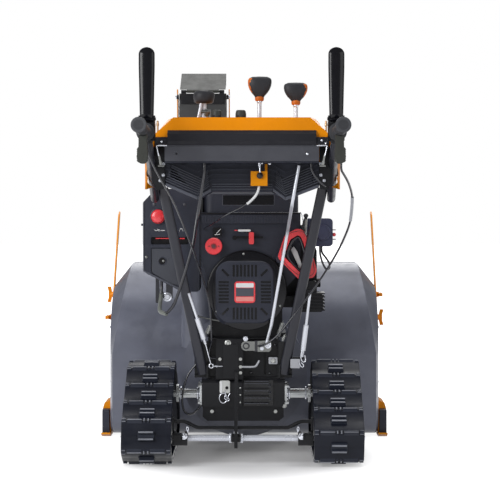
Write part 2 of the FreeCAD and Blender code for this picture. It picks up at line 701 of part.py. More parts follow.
def gearcase():
    """Worm gearcase: a bevelled barrel on the auger's axis and a neck back along the impeller shaft."""
    body = turned([(0, -46), (28, -46), (54, -20), (54, 20), (28, 46), (0, 46)], (0, AUGER_Y, IMPELLER_Z),
                  (1, 0, 0))
    neck = block(-27, 27, AUGER_Y - 110, AUGER_Y, IMPELLER_Z - 27, IMPELLER_Z + 27, 0.0)
    seam = box(-38, 38, AUGER_Y - 78, AUGER_Y - 70, IMPELLER_Z - 34, IMPELLER_Z + 34)
    cross = rod((-60, AUGER_Y, IMPELLER_Z), (60, AUGER_Y, IMPELLER_Z), AUGER_SHAFT_R + RUNNING_GAP)
    drive = rod((0, AUGER_Y - 111, IMPELLER_Z), (0, AUGER_Y - 20, IMPELLER_Z), IMPELLER_SHAFT_R + RUNNING_GAP)
    return fused([body, neck, seam]).cut(cross).cut(drive)


def auger_shaft():
    half = HOUSING_HALF + 13
    return rod((-half, AUGER_Y, IMPELLER_Z), (half, AUGER_Y, IMPELLER_Z), AUGER_SHAFT_R)


def flight(start):
    """One serrated ribbon of the right-hand auger half: sections set round a helix, every other one cut back."""
    inner = AUGER_R - FLIGHT_WIDTH
    count = round(FLIGHT_SPAN / FLIGHT_PITCH * FLIGHT_TEETH) * 2
    sections = []
    for i in range(count + 1):
        share = i / count
        turn = math.radians(start) + 2 * math.pi * share * FLIGHT_SPAN / FLIGHT_PITCH
        away = Vec(0, math.sin(turn), -math.cos(turn))
        outer = AUGER_R if i % 2 == 0 else AUGER_R - TOOTH_DEPTH
        x = FLIGHT_START + share * (FLIGHT_SPAN - FLIGHT_THICK)
        places = [Vec(x + dx, AUGER_Y, IMPELLER_Z) + away * r
                  for dx, r in ((0, inner), (0, outer), (FLIGHT_THICK, outer), (FLIGHT_THICK, inner))]
        sections.append(Part.makePolygon(places + places[:1]))
    return Part.makeLoft(sections, True, True)


def auger_flights():
    """Two ribbons on each half with their arms, so that both halves feed the middle."""
    inner = AUGER_SHAFT_R + 7.5
    shaft = rod((50, AUGER_Y, IMPELLER_Z), (HOUSING_HALF, AUGER_Y, IMPELLER_Z), AUGER_SHAFT_R + 0.05)
    pieces = [rod((62, AUGER_Y, IMPELLER_Z), (HOUSING_HALF - 12, AUGER_Y, IMPELLER_Z), inner)]
    for start in (0, 180):
        pieces.append(flight(start))
        for share in (0.06, 0.5, 0.94):
            turn = math.radians(start + 360 * share * FLIGHT_SPAN / FLIGHT_PITCH)
            x = FLIGHT_START + share * (FLIGHT_SPAN - FLIGHT_THICK)
            away, side = Vec(0, math.sin(turn), -math.cos(turn)), Vec(0, math.cos(turn), math.sin(turn))
            foot = Vec(x, AUGER_Y, IMPELLER_Z) + away * (AUGER_SHAFT_R + 4)
            head = Vec(x, AUGER_Y, IMPELLER_Z) + away * (AUGER_R - FLIGHT_WIDTH + 12)
            corners = [foot - side * 12, foot + side * 12, head + side * 12, head - side * 12]
            pieces.append(Part.Face(Part.makePolygon(corners + corners[:1])).extrude(Vec(5, 0, 0)))
    return fused(pieces).cut(shaft)


def impeller():
    """Four-bladed fan on the shaft that runs from the belt cover to the gearcase."""
    y0, y1 = DRUM_REAR + 16, DRUM_REAR + 106
    pieces = [rod((0, COVER_REAR + 22, IMPELLER_Z), (0, AUGER_Y - 22, IMPELLER_Z), IMPELLER_SHAFT_R),
              rod((0, y0, IMPELLER_Z), (0, y1, IMPELLER_Z), 26.0)]
    for i in range(4):
        blade = block(18, IMPELLER_R, y0, y1, -3, 3, 0.0)
        back = block(18, IMPELLER_R - 24, y0, y0 + 5, -34, 3, 0.0)
        vane = fused([blade, back])
        vane.rotate(Vec(0, 0, 0), Vec(0, 1, 0), 90 * i + 20)
        vane.translate(Vec(0, 0, IMPELLER_Z))
        pieces.append(vane)
    return fused(pieces)


# ==== skids and drift cutters ==================================================================

def skid_bracket():
    """Steel shoe with turned-up ends, its sloped cap and the plate that holds it to the housing."""
    x0, x1 = HOUSING_HALF, HOUSING_HALF + SKID_WIDTH
    y0, y1 = SKID_REAR, SKID_REAR + SKID_LENGTH
    sole = prism([(y0 + 24, 0, 40), (y1 - 38, 0, 40), (y1, 26), (y1 - 4, 31), (y1 - 40, 6), (y0 + 26, 6),
                  (y0 + 3, 15), (y0, 10)], "YZ", x0, x1)
    plate = block(x0, x0 + 6, y0 + 50, y1 - 50, 5, 114, 12.0, "YZ")
    cap = prism([(x0 + 5, SKID_PAD_TOP), (x1, SKID_PAD_TOP), (x1 - 5, 105), (x0 + 5, 116)], "XZ",
                y0 + 64, y1 - 64)
    return fused([sole, plate, cap])


def skid_pad():
    """Dark wear block held between the shoe's sole and its cap."""
    x0, x1 = HOUSING_HALF + 6, HOUSING_HALF + SKID_WIDTH - 1
    y0, y1 = SKID_REAR + 30, SKID_REAR + SKID_LENGTH - 44
    body = block(x0, x1, y0, y1, 6, SKID_PAD_TOP, 9.0, "YZ")
    grooves = [box(x1 - 3, x1 + 1, y0 + 30 + 30 * i, y0 + 36 + 30 * i, 14, SKID_PAD_TOP - 8) for i in range(5)]
    return body.cut(group(grooves))


def drift_cutter():
    """Flat bar that leans forward beside the housing, pointed at its top."""
    low, high = Vec(0, *CUTTER_LOW), Vec(0, *CUTTER_HIGH)
    along = (high - low).normalize()
    side = Vec(0, -along.z, along.y) * 12.5
    corners = [low + side, low - side, high - side, high + side - along * 40]
    profile = [(p.y, p.z, 4) for p in corners]
    return prism(profile, "YZ", HOUSING_HALF, HOUSING_HALF + CUTTER_THICK)


def wing_nut(y, z, upright):
    """Wing nut on the outer face of a drift cutter, its wings along the bar's height or its depth."""
    face = HOUSING_HALF + CUTTER_THICK
    hub = turned([(0, 0), (10, 0), (8, 9), (0, 9)], (face, y, z), (1, 0, 0))
    wing = prism([(-6, 0), (6, 0), (9, 4), (27, 8), (26, 14), (10, 11), (-10, 11), (-26, 14), (-27, 8),
                  (-9, 4)],
                 "XY", -5, 5, 1.5)
    wing.rotate(Vec(0, 0, 0), Vec(0, 0, 1), -90)
    if upright:
        wing.rotate(Vec(0, 0, 0), Vec(1, 0, 0), 90)
    wing.translate(Vec(face, y, z))
    return fused([hub, wing])


def cutter_knobs():
    """Two wing nuts on each drift cutter, left as they were tightened."""
    right = [wing_nut(*CUTTER_KNOBS[0], True), wing_nut(*CUTTER_KNOBS[1], False)]
    left = [wing_nut(*CUTTER_KNOBS[0], False), wing_nut(*CUTTER_KNOBS[1], True)]
    return group(right + [mirrored(nut) for nut in left])


# ==== chute ====================================================================================

def chute_profile(grow, front_grow):
    """Side outline of the chute above its collar: upright behind, leaning forward higher up."""
    rear, front = CHUTE_Y - SPOUT_R, CHUTE_Y + SPOUT_R
    low, top = SPOUT_TOP + 62, CHUTE_TOP
    return [(rear + grow, low), (rear + grow, low + 190, 260), (rear + 46 + grow, top),
            (front + 46 + front_grow, top - 10), (front + front_grow - 8, low + 150,
                                                  200), (front + front_grow, low)]


def chute_body():
    """Turning collar, with a channel above it that is open in front."""
    low = SPOUT_TOP + SEAT_GAP
    collar = rod((CHUTE_X, CHUTE_Y, low), (CHUTE_X, CHUTE_Y, SPOUT_TOP + 64), SPOUT_R)
    flange = rod((CHUTE_X, CHUTE_Y, low), (CHUTE_X, CHUTE_Y, low + 9), SPOUT_R + 16)
    bore = rod((CHUTE_X, CHUTE_Y, low - 1), (CHUTE_X, CHUTE_Y, SPOUT_TOP + 80), SPOUT_R - CHUTE_WALL)
    x0, x1 = CHUTE_X - CHUTE_HALF, CHUTE_X + CHUTE_HALF
    outer = prism(chute_profile(0, 0), "YZ", x0, x1)
    inner_points = chute_profile(CHUTE_WALL, 60)
    inner_points[0] = (inner_points[0][0], SPOUT_TOP + 66)
    inner_points[-1] = (inner_points[-1][0], SPOUT_TOP + 66)
    inner_points[2] = (inner_points[2][0] + 3, CHUTE_TOP + 20)
    inner_points[3] = (inner_points[3][0], CHUTE_TOP + 20)
    inner = prism(inner_points, "YZ", x0 + CHUTE_WALL, x1 - CHUTE_WALL)
    front_wall = prism([(CHUTE_Y + SPOUT_R - 3, SPOUT_TOP + 62), (CHUTE_Y + SPOUT_R, SPOUT_TOP + 62),
                        (CHUTE_Y + SPOUT_R - 4, SPOUT_TOP + 150), (CHUTE_Y + SPOUT_R - 7, SPOUT_TOP + 150)],
                       "YZ", x0 + 1, x1 - 1)
    channel = outer.cut(inner).fuse(front_wall)
    return fused([collar, flange, channel]).cut(bore)


def chute_edges():
    """Coloured guard strips beside the channel, each on two spacers."""
    front, low = CHUTE_Y + SPOUT_R, SPOUT_TOP + 150
    profile = [(front - 24, low), (front + 6, low), (front + 44, CHUTE_TOP - 12),
               (front - 20, CHUTE_TOP + 16, 6),
               (front - 52, CHUTE_TOP + 18, 8), (front - 40, CHUTE_TOP - 40)]
    near, far = CHUTE_HALF + 7, CHUTE_HALF + 10
    strip = prism(profile, "YZ", near, far, 0.0)
    spacers = [rod((CHUTE_HALF, y, z), (near, y, z), 4.0) for y, z in ((front - 12, 800), (front + 4, 1010))]
    right = fused([strip] + spacers)
    left = mirrored(right)
    for side in (right, left):
        side.translate(Vec(CHUTE_X, 0, 0))
    return group([right, left])


def chute_hinge():
    """Hinge rod on the chute's upper rear edge, with its strip."""
    half = CHUTE_HALF - 6
    pin = rod((CHUTE_X - half, HINGE_Y, HINGE_Z), (CHUTE_X + half, HINGE_Y, HINGE_Z), 3.0)
    strip = box(CHUTE_X - half, CHUTE_X + half, HINGE_Y - 2, HINGE_Y + 1, CHUTE_TOP - 34, CHUTE_TOP - 3)
    knuckles = [rod((CHUTE_X + x, HINGE_Y, HINGE_Z), (CHUTE_X + x + 16, HINGE_Y, HINGE_Z), HINGE_R)
                for x in (-half, half - 16)]
    tabs = [box(CHUTE_X + x, CHUTE_X + x + 16, HINGE_Y - 2, HINGE_Y + 1, CHUTE_TOP - 4, HINGE_Z)
            for x in (-half, half - 16)]
    return fused([pin, strip] + knuckles + tabs)


def deflector():
    """Cap that bends the snow's path down; it hinges on the chute's rear edge."""
    half, lean = CHUTE_HALF - 2, math.radians(DEFLECTOR_LEAN)
    along = Vec(0, math.sin(lean), math.cos(lean))
    down = Vec(0, math.cos(lean), -math.sin(lean))
    root = Vec(0, HINGE_Y, HINGE_Z) + along * 8 - down * 3

    def side(x, inset, length, drop):
        steps = ((inset, inset), (length, inset), (length - 10, drop + inset), (inset + 22, inset + 5))
        corners = [root + along * a + down * d for a, d in steps]
        for corner in corners:
            corner.x = x
        return bend_wire(corners, [0] * 4, closed=True)
    outer = Part.Face(side(CHUTE_X - half, 0, DEFLECTOR_LENGTH, 32)).extrude(Vec(2 * half, 0, 0))
    inner = Part.Face(side(CHUTE_X - half + CHUTE_WALL, CHUTE_WALL, DEFLECTOR_LENGTH + 20, 90))
    cap = outer.cut(inner.extrude(Vec(2 * (half - CHUTE_WALL), 0, 0)))
    barrel_half = CHUTE_HALF - 6 - 17
    barrel = rod((CHUTE_X - barrel_half, HINGE_Y, HINGE_Z), (CHUTE_X + barrel_half, HINGE_Y, HINGE_Z),
                 HINGE_R)
    hinge, x = Vec(CHUTE_X - barrel_half, HINGE_Y, HINGE_Z), CHUTE_X - barrel_half
    foot = Vec(x, root.y, root.z)
    corners = [hinge, foot, foot + down * 3 + along * 2, hinge + down * 4]
    web = Part.Face(Part.makePolygon(corners + corners[:1])).extrude(Vec(2 * barrel_half, 0, 0))
    pin = rod((CHUTE_X - half - 9, HINGE_Y, HINGE_Z), (CHUTE_X + half + 9, HINGE_Y, HINGE_Z),
              3.0 + RUNNING_GAP)
    return fused([cap, barrel, web]).cut(pin)


# ==== engine ===================================================================================

def engine_block():
    """Crankcase and upright cylinder as one plain casting."""
    case = block(-96, 118, -30, ENGINE_FRONT, DECK_TOP, 560, 22.0)
    head = block(-70, 96, -20, ENGINE_FRONT - 30, 540, 690, 14.0)
    fins = [box(-84, 110, -26, ENGINE_FRONT - 24, z, z + 5) for z in range(572, 690, 14)]
    feet = box(-110, 130, -20, ENGINE_FRONT - 10, DECK_TOP, DECK_TOP + 12)
    crank = rod((CRANK_X, ENGINE_FRONT - 2, CRANK_Z), (CRANK_X, COVER_REAR, CRANK_Z), 30.0)
    return fused([case, head, feet, crank] + fins)


def engine_shroud():
    """Moulded cover at the back of the engine; its foot is round about the fan."""
    y0, y1 = ENGINE_REAR, -30.0
    left, right = SHROUD_LEFT, SHROUD_RIGHT
    upper = [(left, 612, 10), (left, SHROUD_STEP), (right, SHROUD_STEP), (right, 560, 16), (118, 500),
             (-96, 500)]
    face = prism(upper, "XZ", y0, y1)
    deep = y1 - y0 + RING_PROUD
    ring = turned([(0, 0), (FAN_RING_R, 0), (FAN_RING_R, deep - 5), (FAN_RING_R - 5, deep), (0, deep)],
                  (CRANK_X, y1, CRANK_Z), (0, -1, 0))
    side = block(left, right, y1, 60, 612, SHROUD_STEP, 10.0)
    hollow = block(left + 5, right - 5, y1, 61, 600, SHROUD_STEP - 5, 8.0)
    engine = block(-100, 122, y1 - 1, 61, 480, SHROUD_STEP - 5, 8.0)
    body = fused([face, ring]).fuse(side.cut(hollow))
    return body.cut(engine)


def fuel_tank():
    low = SHROUD_STEP + SEAT_GAP
    body = block(SHROUD_LEFT + 8, SHROUD_RIGHT - 6, -66, 128, low, TANK_TOP, 30.0, "XY")
    top = [e for e in body.Edges if all(v.Point.z > TANK_TOP - 1 for v in e.Vertexes)]
    return body.makeChamfer(12.0, top)


def tank_cap():
    return turned([(0, 0), (30, 0), (30, 6), (28, 20), (22, 26), (0, 26)], (60, 60, TANK_TOP + SEAT_GAP),
                  (0, 0, 1))


def recoil_cover():
    """Squircle starter cover with slots all round a centre boss."""
    cx, cz, half = CRANK_X - 6, CRANK_Z - 5, RECOIL_HALF
    y0 = ENGINE_REAR - RECOIL_DEPTH
    body = block(cx - half, cx + half, y0, ENGINE_REAR - RING_PROUD, cz - half - 6, cz + half + 6, 48.0)
    front = [e for e in body.Edges if all(v.Point.y < y0 + 1 for v in e.Vertexes)]
    body = body.makeChamfer(9.0, front)
    slots = []
    depth = 12.0
    for turn in (45, 135, 225, 315):
        slot = box(cx + 68, cx + 96, y0 - 1, y0 + depth, cz - 3.5, cz + 3.5)
        slot.rotate(Vec(cx, 0, cz), Vec(0, 1, 0), turn)
        slots.append(slot)
    for i in range(-3, 4):
        for low in (cz + 46, cz - 82):
            slots.append(box(cx + i * 11 - 3.2, cx + i * 11 + 3.2, y0 - 1, y0 + depth, low, low + 36))
    for i in range(-3, 4):
        for low in (cx + 48, cx - 78):
            slots.append(box(low, low + 30, y0 - 1, y0 + depth, cz + i * 10 - 3, cz + i * 10 + 3))
    boss = block(cx - 33, cx + 33, y0 - 1.5, y0 + 3, cz - 33, cz + 33, 16.0)
    return fused([body.cut(group(slots)), boss])


def pull_handle():
    """Ring grip of the starter cord, hanging askew behind its seat."""
    y0 = -118.0
    ring = [(124, 671, 22), (160, 690, 16), (177, 687, 14), (193, 657, 20), (220, 566, 16), (211, 545, 14),
            (168, 537, 20), (102, 604, 16)]
    hole = [(140, 657, 12), (162, 671, 8), (171, 666, 8), (179, 648, 12), (202, 571, 8), (197, 560, 8),
            (172, 557, 12),
            (121, 607, 10)]
    return prism(ring, "XZ", y0, y0 + 22).cut(prism(hole, "XZ", y0 - 1, y0 + 23))


def pull_seat():
    """Guide that the starter handle hangs on."""
    seat = turned([(0, 0), (17, 0), (14, 26), (0, 26)], (112, -70, 600), (0, -1, 0))
    return seat


def intake_box():
    """Heated intake box on the left of the engine."""
    y0, y1 = -75.0, 58.0
    inner = SHROUD_LEFT - SEAT_GAP
    profile = [(inner, 500, 8), (-184, 500, 20), (-301, 560, 26), (-301, 768, 10), (-262, 809, 14),
               (inner, 809, 6)]
    body = prism(profile, "XZ", y0, y1)
    recess = [(-188, 516, 10), (-224, 524, 14), (-277, 556, 14), (-277, 632, 6), (-188, 632, 6)]
    body = body.cut(prism(recess, "XZ", y0 - 1, y0 + 6))
    slot = block(-277, -163, y0 - 1, y0 + 10, 642, 664, 4.0)
    return body.cut(slot)


def red_controls():
    """Choke knob, priming button and throttle lever in signal colour."""
    y = ENGINE_REAR
    knob = turned([(0, 0), (25, 0), (25, 11), (22, 14), (0, 14)], (-88, y, 637), (0, -1, 0))
    bar = block(-92, -84, y - 22, y - 13, 615, 659, 3.0)
    button = turned([(0, 0), (21, 0), (21, 6), (17, 12), (0, 12)], (-255, -75, 725.5), (0, -1, 0))
    lever = block(17, 32, y - 20, y, 643, 679, 4.0)
    return group([fused([knob, bar]), button, lever])


def muffler():
    """Muffler in its guard at the engine's right front."""
    body = block(128, 226, 62, 142, 470, 640, 24.0)
    slots = [box(127, 227, 74 + 17 * i, 80 + 17 * i, 620, 641) for i in range(4)]
    pipe_end = rod((226, 90, 520), (238, 90, 520), 14.0)
    port = box(118 + SEAT_GAP, 130, 84, 116, 480, 512)
    return fused([body.cut(group(slots)), pipe_end, port])


def starter_motor():
    """Finned electric starter low on the right."""
    core = block(165, 240, -58, 34, 438, 494, 8.0)
    head = block(176, 222, -50, 30, 494, 530, 6.0)
    fins = [box(160, 246, -62, 38, z, z + 4) for z in range(442, 494, 10)]
    arm = box(118, 168, -28, 20, 450, 484)
    return fused([core, head, arm] + fins)


def starter_box():
    """Switch and socket box of the electric starter."""
    body = block(186, 269, -60, 18, 636, 720, 12.0)
    boss = rod((240, -60, 678), (240, -74, 678), 21.0)
    neck = box(SHROUD_RIGHT, 188, -40, 0, 650, 700)
    return fused([body, boss, neck])


# ==== handles ==================================================================================

def lower_bars():
    bar = flat_bar(BAR_LOW, BAR_HIGH, BAR_WIDTH, BAR_THICK, 8.0)
    return both_sides(bar)


def bar_brackets():
    """Plates that tie the foot of each handle bar to the deck's side; they lean as the bars do."""
    low, high = 240.0, 350.0
    lean = (BAR_HIGH[1] - BAR_LOW[1]) / (BAR_HIGH[2] - BAR_LOW[2])
    back = [BAR_LOW[1] + lean * (z - BAR_LOW[2]) for z in (low, high)]
    profile = [(back[0], low), (back[1], high), (back[1] + 12, high), (back[0] + 12, low)]
    plate = prism(profile, "YZ", DECK_HALF, BAR_LOW[0] + 24)
    web = box(DECK_HALF, DECK_HALF + 5, back[1] + 8, 0, low, high - 4)
    bracket = fused([plate, web]).cut(flat_bar(BAR_LOW, BAR_HIGH, 90.0, BAR_THICK + 2 * SEAT_GAP, 8.0))
    return both_sides(max(bracket.Solids, key=lambda solid: solid.Volume))


def handle_path():
    """Centre line of the right-hand upper tube, up to the front of its grip."""
    end = Vec(*GRIP_END)
    front = end - grip_direction() * (GRIP_LENGTH + TUBE_LEAD)
    return [(BAR_HIGH[0] + BAR_WIDTH / 2 + TUBE_R + 0.5, -150, 779), TUBE_KNEE, tuple(front)]


def handle_runs(radius):
    """The straight runs of both upper tubes at another radius, for cutting what they pass through."""
    path = handle_path()
    runs = [rod(path[i], path[i + 1], radius) for i in range(len(path) - 1)]
    return runs + [mirrored(run) for run in runs]


def grip_direction():
    outward, upward = math.radians(GRIP_OUTWARD), math.radians(GRIP_UPWARD)
    return Vec(math.sin(outward), -math.cos(outward) * math.cos(upward), math.sin(upward)).normalize()


def upper_tube(extra=0.0):
    """Bent tube from the lower bar to the grip's end; extra widens it for cutting what it passes through."""
    path = [Vec(*p) for p in handle_path()]
    tip = Vec(*GRIP_END) - grip_direction() * 6
    points = [tuple(p) for p in path] + [tuple(tip)]
    return pipe(points, TUBE_R + extra, 90.0)


def grip():
    end = Vec(*GRIP_END)
    start = end - grip_direction() * GRIP_LENGTH
    profile = [(0, 0), (GRIP_R + 6, 0), (GRIP_R + 6, 6), (GRIP_R - 1, 9), (GRIP_R - 2, 60), (GRIP_R, 138),
               (GRIP_R - 3, GRIP_LENGTH), (0, GRIP_LENGTH)]
    body = turned(profile, tuple(start), tuple(grip_direction()))
    bore = rod(tuple(start - grip_direction() * 5), tuple(end - grip_direction() * 5.7), TUBE_R + 0.5)
    return body.cut(bore)


def paddle_fork():
    """Clamp in front of the grip with the two ears that the paddle turns between."""
    path = handle_path()
    low, high = along_line(path[1], path[2], 0.8), along_line(path[1], path[2], 0.99)
    clamp = rod(low, high, TUBE_R + 8)
    y, z = PADDLE_PIVOT_Y, PADDLE_PIVOT_Z
    ears = [block(PADDLE_X + x, PADDLE_X + x + 4, y - 8, y + 10, z - 50, z + 9, 7.0, "YZ") for x in (-22, 18)]
    bridge = box(PADDLE_X - 22, PADDLE_X + 22, y - 8, y + 22, z - 58, z - 12)
    pin = rod((PADDLE_X - 24, y, z), (PADDLE_X + 24, y, z), PADDLE_PIN_R)
    return fused([clamp, bridge, pin] + ears).cut(upper_tube(0.6))


def paddle():
    """Long lever that stands up from the grip, tapering towards its foot."""
    y, z = PADDLE_PIVOT_Y, PADDLE_PIVOT_Z
    top, half_low, half_top = PADDLE_TOP, 17.0, 20.0
    face = [(PADDLE_X - half_low, z + 2), (PADDLE_X + half_low, z + 2), (PADDLE_X + half_top, top - 50, 60),
            (PADDLE_X + 15.5, top, 14), (PADDLE_X - 15.5, top, 14), (PADDLE_X - half_top, top - 50, 60)]
    plate = prism(face, "XZ", y - PADDLE_THICK / 2, y + PADDLE_THICK / 2)
    rib = prism([(PADDLE_X - 4, z + 4), (PADDLE_X + 4, z + 4), (PADDLE_X + 3, top - 26),
                 (PADDLE_X - 3, top - 26)],
                "XZ", y + PADDLE_THICK / 2 - 1, y + PADDLE_THICK / 2 + 5)
    barrel = rod((PADDLE_X - 17, y, z), (PADDLE_X + 17, y, z), PADDLE_PIN_R + 4)
    bore = rod((PADDLE_X - 30, y, z), (PADDLE_X + 30, y, z), PADDLE_PIN_R + RUNNING_GAP)
    return fused([plate, rib, barrel]).cut(bore)


def trigger():
    """Freewheel trigger in its boot, hanging from the middle of the grip."""
    profile = [(247, 950), (268, 950), (269, 908), (274, 884, 6), (267, 867, 8), (251, 867, 8),
               (245, 884, 6), (247, 908)]
    body = prism(profile, "XZ", -700, -668)
    end = Vec(*GRIP_END)
    return body.cut(rod(tuple(end - grip_direction() * GRIP_LENGTH), tuple(end), GRIP_R - 0.7))


# ==== console ==================================================================================

def console_section(y, half, skirt, low, shoulder, top, inset):
    """Outline of the console cover at one y, open below."""
    half, top, skirt, shoulder = half - inset, top - inset, skirt - inset, shoulder - inset * 0.4
    points = [(-skirt, low), (-skirt, shoulder), (-half, top), (half, top), (skirt, shoulder), (skirt, low)]
    return outline(points, "XZ", y)


def console_form(inset, extra):
    """The cover's outer form, or its inside; extra lengthens it downwards."""
    sections = [(CONSOLE_REAR + inset, 186, 240, 944 - extra, 949, CONSOLE_TOP + 3),
                (-420, 205, 262, 868 - extra, 930, CONSOLE_TOP + 4),
                (-330, 214, 277, 804 - extra, 890, CONSOLE_TOP - 4),
                (CONSOLE_FRONT - inset, 170, 236, 820 - extra, 880, CONSOLE_TOP - 44)]
    return Part.makeLoft([console_section(*s, inset) for s in sections], True, True)


def console_cover():
    """Moulded hood over the controls, cut out where the handle tubes pass."""
    shell = console_form(0, 0).cut(console_form(COVER_WALL, 20.0))
    tubes = handle_runs(TUBE_R + 4)
    slots = [box(x - 8, x + 8, -480, -380, CONSOLE_TOP - 20, CONSOLE_TOP + 20) for x in (48, 149, -106)]
    return shell.cut(group(tubes)).cut(group(slots))


def console_brackets():
    """Black steel plates that tie the console's tray to the handle tubes."""
    y, tray_half = TRAY_REAR - TRAY_RIB - 2, 214 + SEAT_GAP
    plate = prism([(tray_half, 924), (tray_half, 804, 6), (236, 800, 6), (250, 826), (250, 912), (238, 924)],
                  "XZ",
                  y - 4, y)
    flange = box(tray_half, tray_half + 4, y, TRAY_REAR + 50, 814, 866)
    bracket = fused([plate, flange]).cut(group(handle_runs(TUBE_R + 0.6)))
    return both_sides(max(bracket.Solids, key=lambda solid: solid.Volume))


def console_band():
    """Dark trim strip between the cover and the rear panel."""
    y, ends = CONSOLE_REAR, CONSOLE_HALF + 6
    upper = prism([(y, BAND_LOW), (y - 4, BAND_LOW), (y - 9, BAND_LOW + 10), (y - 9, BAND_TOP - 6),
                   (y, BAND_TOP + 4)],
                  "YZ", 8 - PANEL_HALF, PANEL_HALF - 8)
    lower = box(-ends, ends, y - 5, y, BAND_LOW, BAND_TOP - 15)
    return fused([upper, lower])


def console_panel():
    """Grey rear panel with a mounting hole near each end."""
    y = CONSOLE_REAR
    plate = block(-PANEL_HALF, PANEL_HALF, y, y + PANEL_THICK, PANEL_LOW, BAND_LOW, 3.0)
    holes = [rod((x, y - 1, PANEL_HOLE_Z), (x, y + PANEL_THICK + 1, PANEL_HOLE_Z), PANEL_HOLE_R)
             for x in (-PANEL_HOLE_X, PANEL_HOLE_X)]
    return plate.cut(group(holes))


def console_tray():
    """Ribbed tray that closes the console from below, with a W-shaped lower edge."""
    y0, y1 = TRAY_REAR, TRAY_FRONT
    profile = [(-214, 874), (-214, 812, 10), (-123, 774, 10), (-84, 796, 12), (84, 796, 12), (120, 772, 10),
               (214, 808, 10), (214, 874)]
    body = prism(profile, "XZ", y0, y1)
    floor = box(-PANEL_HALF, PANEL_HALF, CONSOLE_REAR + PANEL_THICK, y1, 874, 879)
    saddle = box(-256, 256, -430, -395, 866, 879)
    ribs = []
    for i in range(5):
        z = 806 + 14 * i
        ribs.append(prism([(-212, z + 24), (-123, z - 12), (-84, z + 8), (84, z + 8), (120, z - 14),
                           (212, z + 22),
                           (212, z + 26), (120, z - 10), (84, z + 12), (-84, z + 12), (-123, z - 8), (-212,
                                                                                                      z + 28)],
                          "XZ", y0 - TRAY_RIB, y0))
    keep = box(-214, 214, y0 - 6, y1, 770, 874)
    tubes = handle_runs(TUBE_R + 0.6)
    return fused([body, floor, saddle] + [r.common(keep) for r in ribs]).cut(group(tubes))


def lever_shafts():
    pieces = []
    for x, z, y in LEVERS:
        pieces.append(rod((x, y, 884), (x, y, z - 26), 6.0))
        pieces.append(turned([(0, 0), (14, 0), (14, 4), (8, 22), (0, 22)], (x, y, CONSOLE_TOP + 4.2),
                             (0, 0, 1)))
    x, z, y = STICK
    pieces.append(rod((x, y, 884), (x, y, z - 14), 7.0))
    pieces.append(turned([(0, 0), (20, 0), (16, 16), (0, 16)], (x, y, CONSOLE_TOP + 4.2), (0, 0, 1)))
    return group([fused(pieces[0:2]), fused(pieces[2:4]), fused(pieces[4:6])])


def fan_knob(x, y, z, half_low, half_top, height):
    """Grip that is wider at its rounded top than at its foot."""
    face = [(x - half_low, z - height / 2, 5), (x + half_low, z - height / 2, 5),
            (x + half_top, z + height / 2 - 14, 12),
            (x + half_top - 10, z + height / 2, 14), (x - half_top + 10, z + height / 2, 14),
            (x - half_top, z + height / 2 - 14, 12)]
    return prism(face, "XZ", y - 15, y + 15)


def lever_knobs():
    knobs = [fan_knob(x, y, z, 14, 32, 58) for x, z, y in LEVERS]
    x, z, y = STICK
    knobs.append(fan_knob(x, y, z, 20, 29, 35))
    bores = [rod((kx, ky, 884), (kx, ky, kz - 26), 6.0) for kx, kz, ky in LEVERS]
    bores.append(rod((x, y, 884), (x, y, z - 14), 7.0))
    return group([knob.cut(bore) for knob, bore in zip(knobs, bores)])


def switches():
    """Two rocker switches on top of the console."""
    return group([block(x - 13, x + 13, -520, -492, CONSOLE_TOP - 2, CONSOLE_TOP + 9, 4.0,
                        "XY").cut(console_form(0, 0))
                  for x in (-69, -3)])


def headlamp():
    """Lamp strip in the front of the console."""
    y = CONSOLE_FRONT
    body = block(-92, 92, y, y + 22, 872, 930, 18.0)
    return body.cut(console_form(0, 0))


def hose_bracket():
    """Folded bracket on the back of the tray that guides a cable."""
    y = TRAY_REAR - TRAY_RIB
    plate = box(63, 70, y - 6, y, 812, 872)
    foot = box(24, 70, y - 30, y, 812, 818)
    wall = box(24, 70, y - 30, y - 26, 818, 852)
    return fused([plate, foot, wall])


# ==== rods and cables ==========================================================================

def speed_rod():
    """Long rod from the console, behind its tray, down to the shift arm."""
    end_y = CASE_REAR - 14 - 4.5 - SEAT_GAP
    points = [(157, -456, 868), (139, -456, 765), (124, -210, 680), (74, -112, 400), (71, end_y, 352),
              (71, end_y, 334)]
    return pipe(points, 4.5, 40.0)


def side_rods():
    """Plated rods of the freewheel controls, beside the handle bars, each with its turnbuckle."""
    pieces = []
    for top, low in (((-161, -131.2, 498), (-113, -92, 345)), ((199, -118, 498), (177, -80, 305))):
        pieces.append(fused([rod(top, low, 4.0), rod(along_line(top, low, 0.5), along_line(top, low, 0.9),
                                                     7.5)]))
    return group(pieces)


def rod_tabs():
    """Tabs on the right handle bar that carry the ends of the right-hand rod."""
    upper = box(187.5, 204, -122, -114, 499.0, 505)
    lower = box(147.2, 182, -84, -70, 298, 304.1)
    return group([upper, lower])


